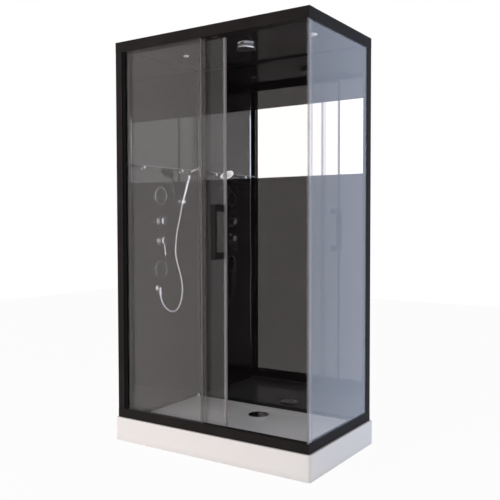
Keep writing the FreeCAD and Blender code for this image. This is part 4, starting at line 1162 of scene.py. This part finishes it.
jet_rings = [(0.0165, 8), (0.0270, 14), (0.0385, 20)]
jet_nozzle_places = []
for number, z in enumerate(jet_heights):
    cup = jet_cup("jet_front_%d" % (number + 1), z)
    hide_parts("jet_faces")
    dressed(cup, "cabin", None)
    plate_centre = (jet_front_x - plate_depth + nozzle_height / 4, jet_y, z)
    jet_nozzle_places += nozzle_rings(plate_centre, (1, 0, 0), jet_rings)
jet_nozzles = copies("jet_nozzles", nozzle, jet_nozzle_places)
dressed(jet_nozzles, "cabin", nozzle_rubber)

# %% [markdown]
# ## Rain head and hand shower nozzles
# Both heads have the same rubber nozzles, in rings about their centre. Those of the hand shower
# follow the tilt of its face and have to ride on the hand shower, because it lifts off. The face's
# middle and direction are those of the solid model.

# %% Rain head nozzles
rain_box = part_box("rain_head")
rain_x = (rain_box[0][0] + rain_box[1][0]) / 2
rain_y = (rain_box[0][1] + rain_box[1][1]) / 2
rain_centre = (rain_x, rain_y, rain_box[0][2])
rain_rings = [(0.008, 5), (0.020, 12), (0.032, 18), (0.044, 26)]
rain_places = nozzle_rings(rain_centre, (0, 0, -1), rain_rings)
rain_nozzles = copies("rain_nozzles", nozzle, rain_places)
dressed(rain_nozzles, "cabin", nozzle_rubber)

# %% Hand shower nozzles
face_centre = (-0.43934, 0.15828, 1.47327)
face_normal = (0.5256, 0.1760, -0.8323)
face_rings = [(0.0045, 4), (0.0115, 9), (0.0185, 14), (0.0250, 20)]
face_places = nozzle_rings(face_centre, face_normal, face_rings)
face_nozzles = copies("hand_shower_nozzles", nozzle, face_places)
dressed(face_nozzles, "handset", nozzle_rubber)
bpy.data.objects.remove(nozzle)

# %% [markdown]
# ## Hose collar
# Where the hose is screwed to its outlet, a small chromed collar grips it. It is a short cylinder
# whose lower end is drawn in, with every other face of its side pushed in for the finger grip.

# %% Collar
collar_radius = 0.0098
collar_height = 0.017
collar_sides = 24
collar_sunk = 0.001
collar_end = 0.006
collar_taper = 0.80
grip_border = 0.0004
grip_wall = 0.0002
grip_depth = 0.0004
outlet_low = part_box("hose_outlet")[0][2]
collar_x, collar_y = hose_points[0][0], hose_points[0][1]
deselect()
bpy.ops.mesh.primitive_cylinder_add(
    vertices=collar_sides,
    radius=collar_radius,
    depth=collar_height,
    location=(collar_x, collar_y, outlet_low - collar_height / 2 + collar_sunk),
)
collar = bpy.context.object
collar.name = "hose_collar"
settle(collar)
open_edit(collar)
pick_faces(collar, lambda middle, normal: normal.z < -0.9)
bpy.ops.mesh.extrude_region_move(TRANSFORM_OT_translate={"value": (0, 0, -collar_end)})
bpy.ops.transform.resize(
    value=(collar_taper, collar_taper, 1.0), center_override=(collar_x, collar_y, outlet_low)
)


def grip(middle, normal):
    """Every other face of the collar's side."""
    turn = math.atan2(middle.y - collar_y, middle.x - collar_x) / (2 * math.pi) * collar_sides
    return abs(normal.z) < 0.1 and round(turn - 0.5) % 2 == 0


pick_faces(collar, grip)
bpy.ops.mesh.inset(thickness=grip_border, use_individual=True)
bpy.ops.mesh.inset(thickness=grip_wall, depth=-grip_depth, use_individual=True)
close_edit(0.5)
dressed(collar, "cabin", chrome)

# %% [markdown]
# ## Floor and light
# The photograph is a cut-out on white. The floor and the surroundings are therefore white for
# the camera, while the light itself stays soft and plain: a warm side to the front left and a
# cooler one to the right, as the two tray faces show. Glass and metal mirror the same soft
# surroundings.

# %% Floor
floor_size = 14.0
floor_gap = 0.0005
floor_white = 0.92
camera_share = 0.95
deselect()
bpy.ops.mesh.primitive_plane_add(size=floor_size, location=(0, 0, -floor_gap))
floor = bpy.context.object
floor.name = "studio_floor"
warm_white = (1.0, 0.945, 0.93, 1.0)
cool_white = (0.71, 0.80, 1.0, 1.0)
front_strength = 1.34
back_strength = 1.42
light_strength = 0.43
cool_across, cool_deep = 0.55, 0.83
cool_start, cool_end = -0.6, 0.9


def surroundings(finish, across, deep):
    """Colour and strength of what glass and metal mirror, in the level direction across, deep."""
    toward = across * cool_across + deep * cool_deep
    to_back_right = finish.ramp(toward, cool_start, cool_end)
    colour = finish.mix(to_back_right, warm_white, cool_white)
    return colour, front_strength + (back_strength - front_strength) * to_back_right


paint = new_finish("floor_white")
lit = paint.node("ShaderNodeBsdfDiffuse", None, {"Color": grey(floor_white)})
spot = paint.place()
floor_x = paint.node("ShaderNodeSeparateXYZ", None, {"Vector": spot}, "X")
floor_y = paint.node("ShaderNodeSeparateXYZ", None, {"Vector": spot}, "Y")
away = (floor_x * floor_x + floor_y * floor_y + 0.01) ** 0.5
colour, strength = surroundings(paint, floor_x / away, floor_y / away)
seen = paint.node("ShaderNodeLightPath", output="Is Camera Ray")
mirrored = paint.node("ShaderNodeLightPath", output="Is Glossy Ray")
passed = paint.node("ShaderNodeLightPath", output="Is Transmission Ray")
white = paint.node("ShaderNodeEmission", None, {"Color": grey(1.0), "Strength": 1.0})
glow = paint.node("ShaderNodeEmission", None, {"Color": colour, "Strength": strength})
shade = paint.node("ShaderNodeMixShader", None, {0: mirrored + passed, 1: lit, 2: glow})
paint.show(paint.node("ShaderNodeMixShader", None, {0: seen * camera_share, 1: shade, 2: white}))
floor.data.materials.append(paint.owner)

# %% World
soft_air = (1.0, 0.955, 0.938, 1.0)
room = Finish(bpy.data.worlds.new("studio"))
bpy.context.scene.world = room.owner
direction = room.node("ShaderNodeTexCoord", output="Generated")
across = room.node("ShaderNodeSeparateXYZ", None, {"Vector": direction}, "X")
deep = room.node("ShaderNodeSeparateXYZ", None, {"Vector": direction}, "Y")
colour, strength = surroundings(room, across, deep)
mirrored = room.node("ShaderNodeLightPath", output="Is Glossy Ray")
passed = room.node("ShaderNodeLightPath", output="Is Transmission Ray")
straight = room.node("ShaderNodeLightPath", output="Is Camera Ray")
plain = room.node("ShaderNodeBackground", None, {"Color": soft_air, "Strength": light_strength})
around = room.node("ShaderNodeBackground", None, {"Color": colour, "Strength": strength})
white = room.node("ShaderNodeBackground", None, {"Color": grey(1.0), "Strength": 1.0})
shade = room.node("ShaderNodeMixShader", None, {0: mirrored + passed, 1: plain, 2: around})
room.show(room.node("ShaderNodeMixShader", None, {0: straight, 1: shade, 2: white}))


# %% Soft boxes
lamp_aim = (0, 0, 0.7)
lamp_size = 2.4
key_place, key_power, key_colour = (-1.6, -4.2, 1.5), 98.0, (1.0, 0.925, 0.905)
side_place, side_power, side_colour = (4.2, 0.6, 1.5), 26.0, (0.82, 0.88, 1.0)


def soft_box(name, place, power, colour):
    """A large square lamp that looks at the cabin's middle. Glass and camera don't see it."""
    deselect()
    bpy.ops.object.light_add(type="AREA", location=place)
    lamp = bpy.context.object
    lamp.name = name
    lamp.data.size = lamp_size
    lamp.data.energy = power
    lamp.data.color = colour
    view = Vector(lamp_aim) - Vector(place)
    lamp.rotation_euler = view.to_track_quat("-Z", "Y").to_euler()
    lamp.visible_glossy = False
    lamp.visible_transmission = False
    lamp.visible_camera = False


soft_box("key_box", key_place, key_power, key_colour)
soft_box("side_box", side_place, side_power, side_colour)
bpy.context.scene.view_settings.view_transform = "Standard"
print("stage and light ready")
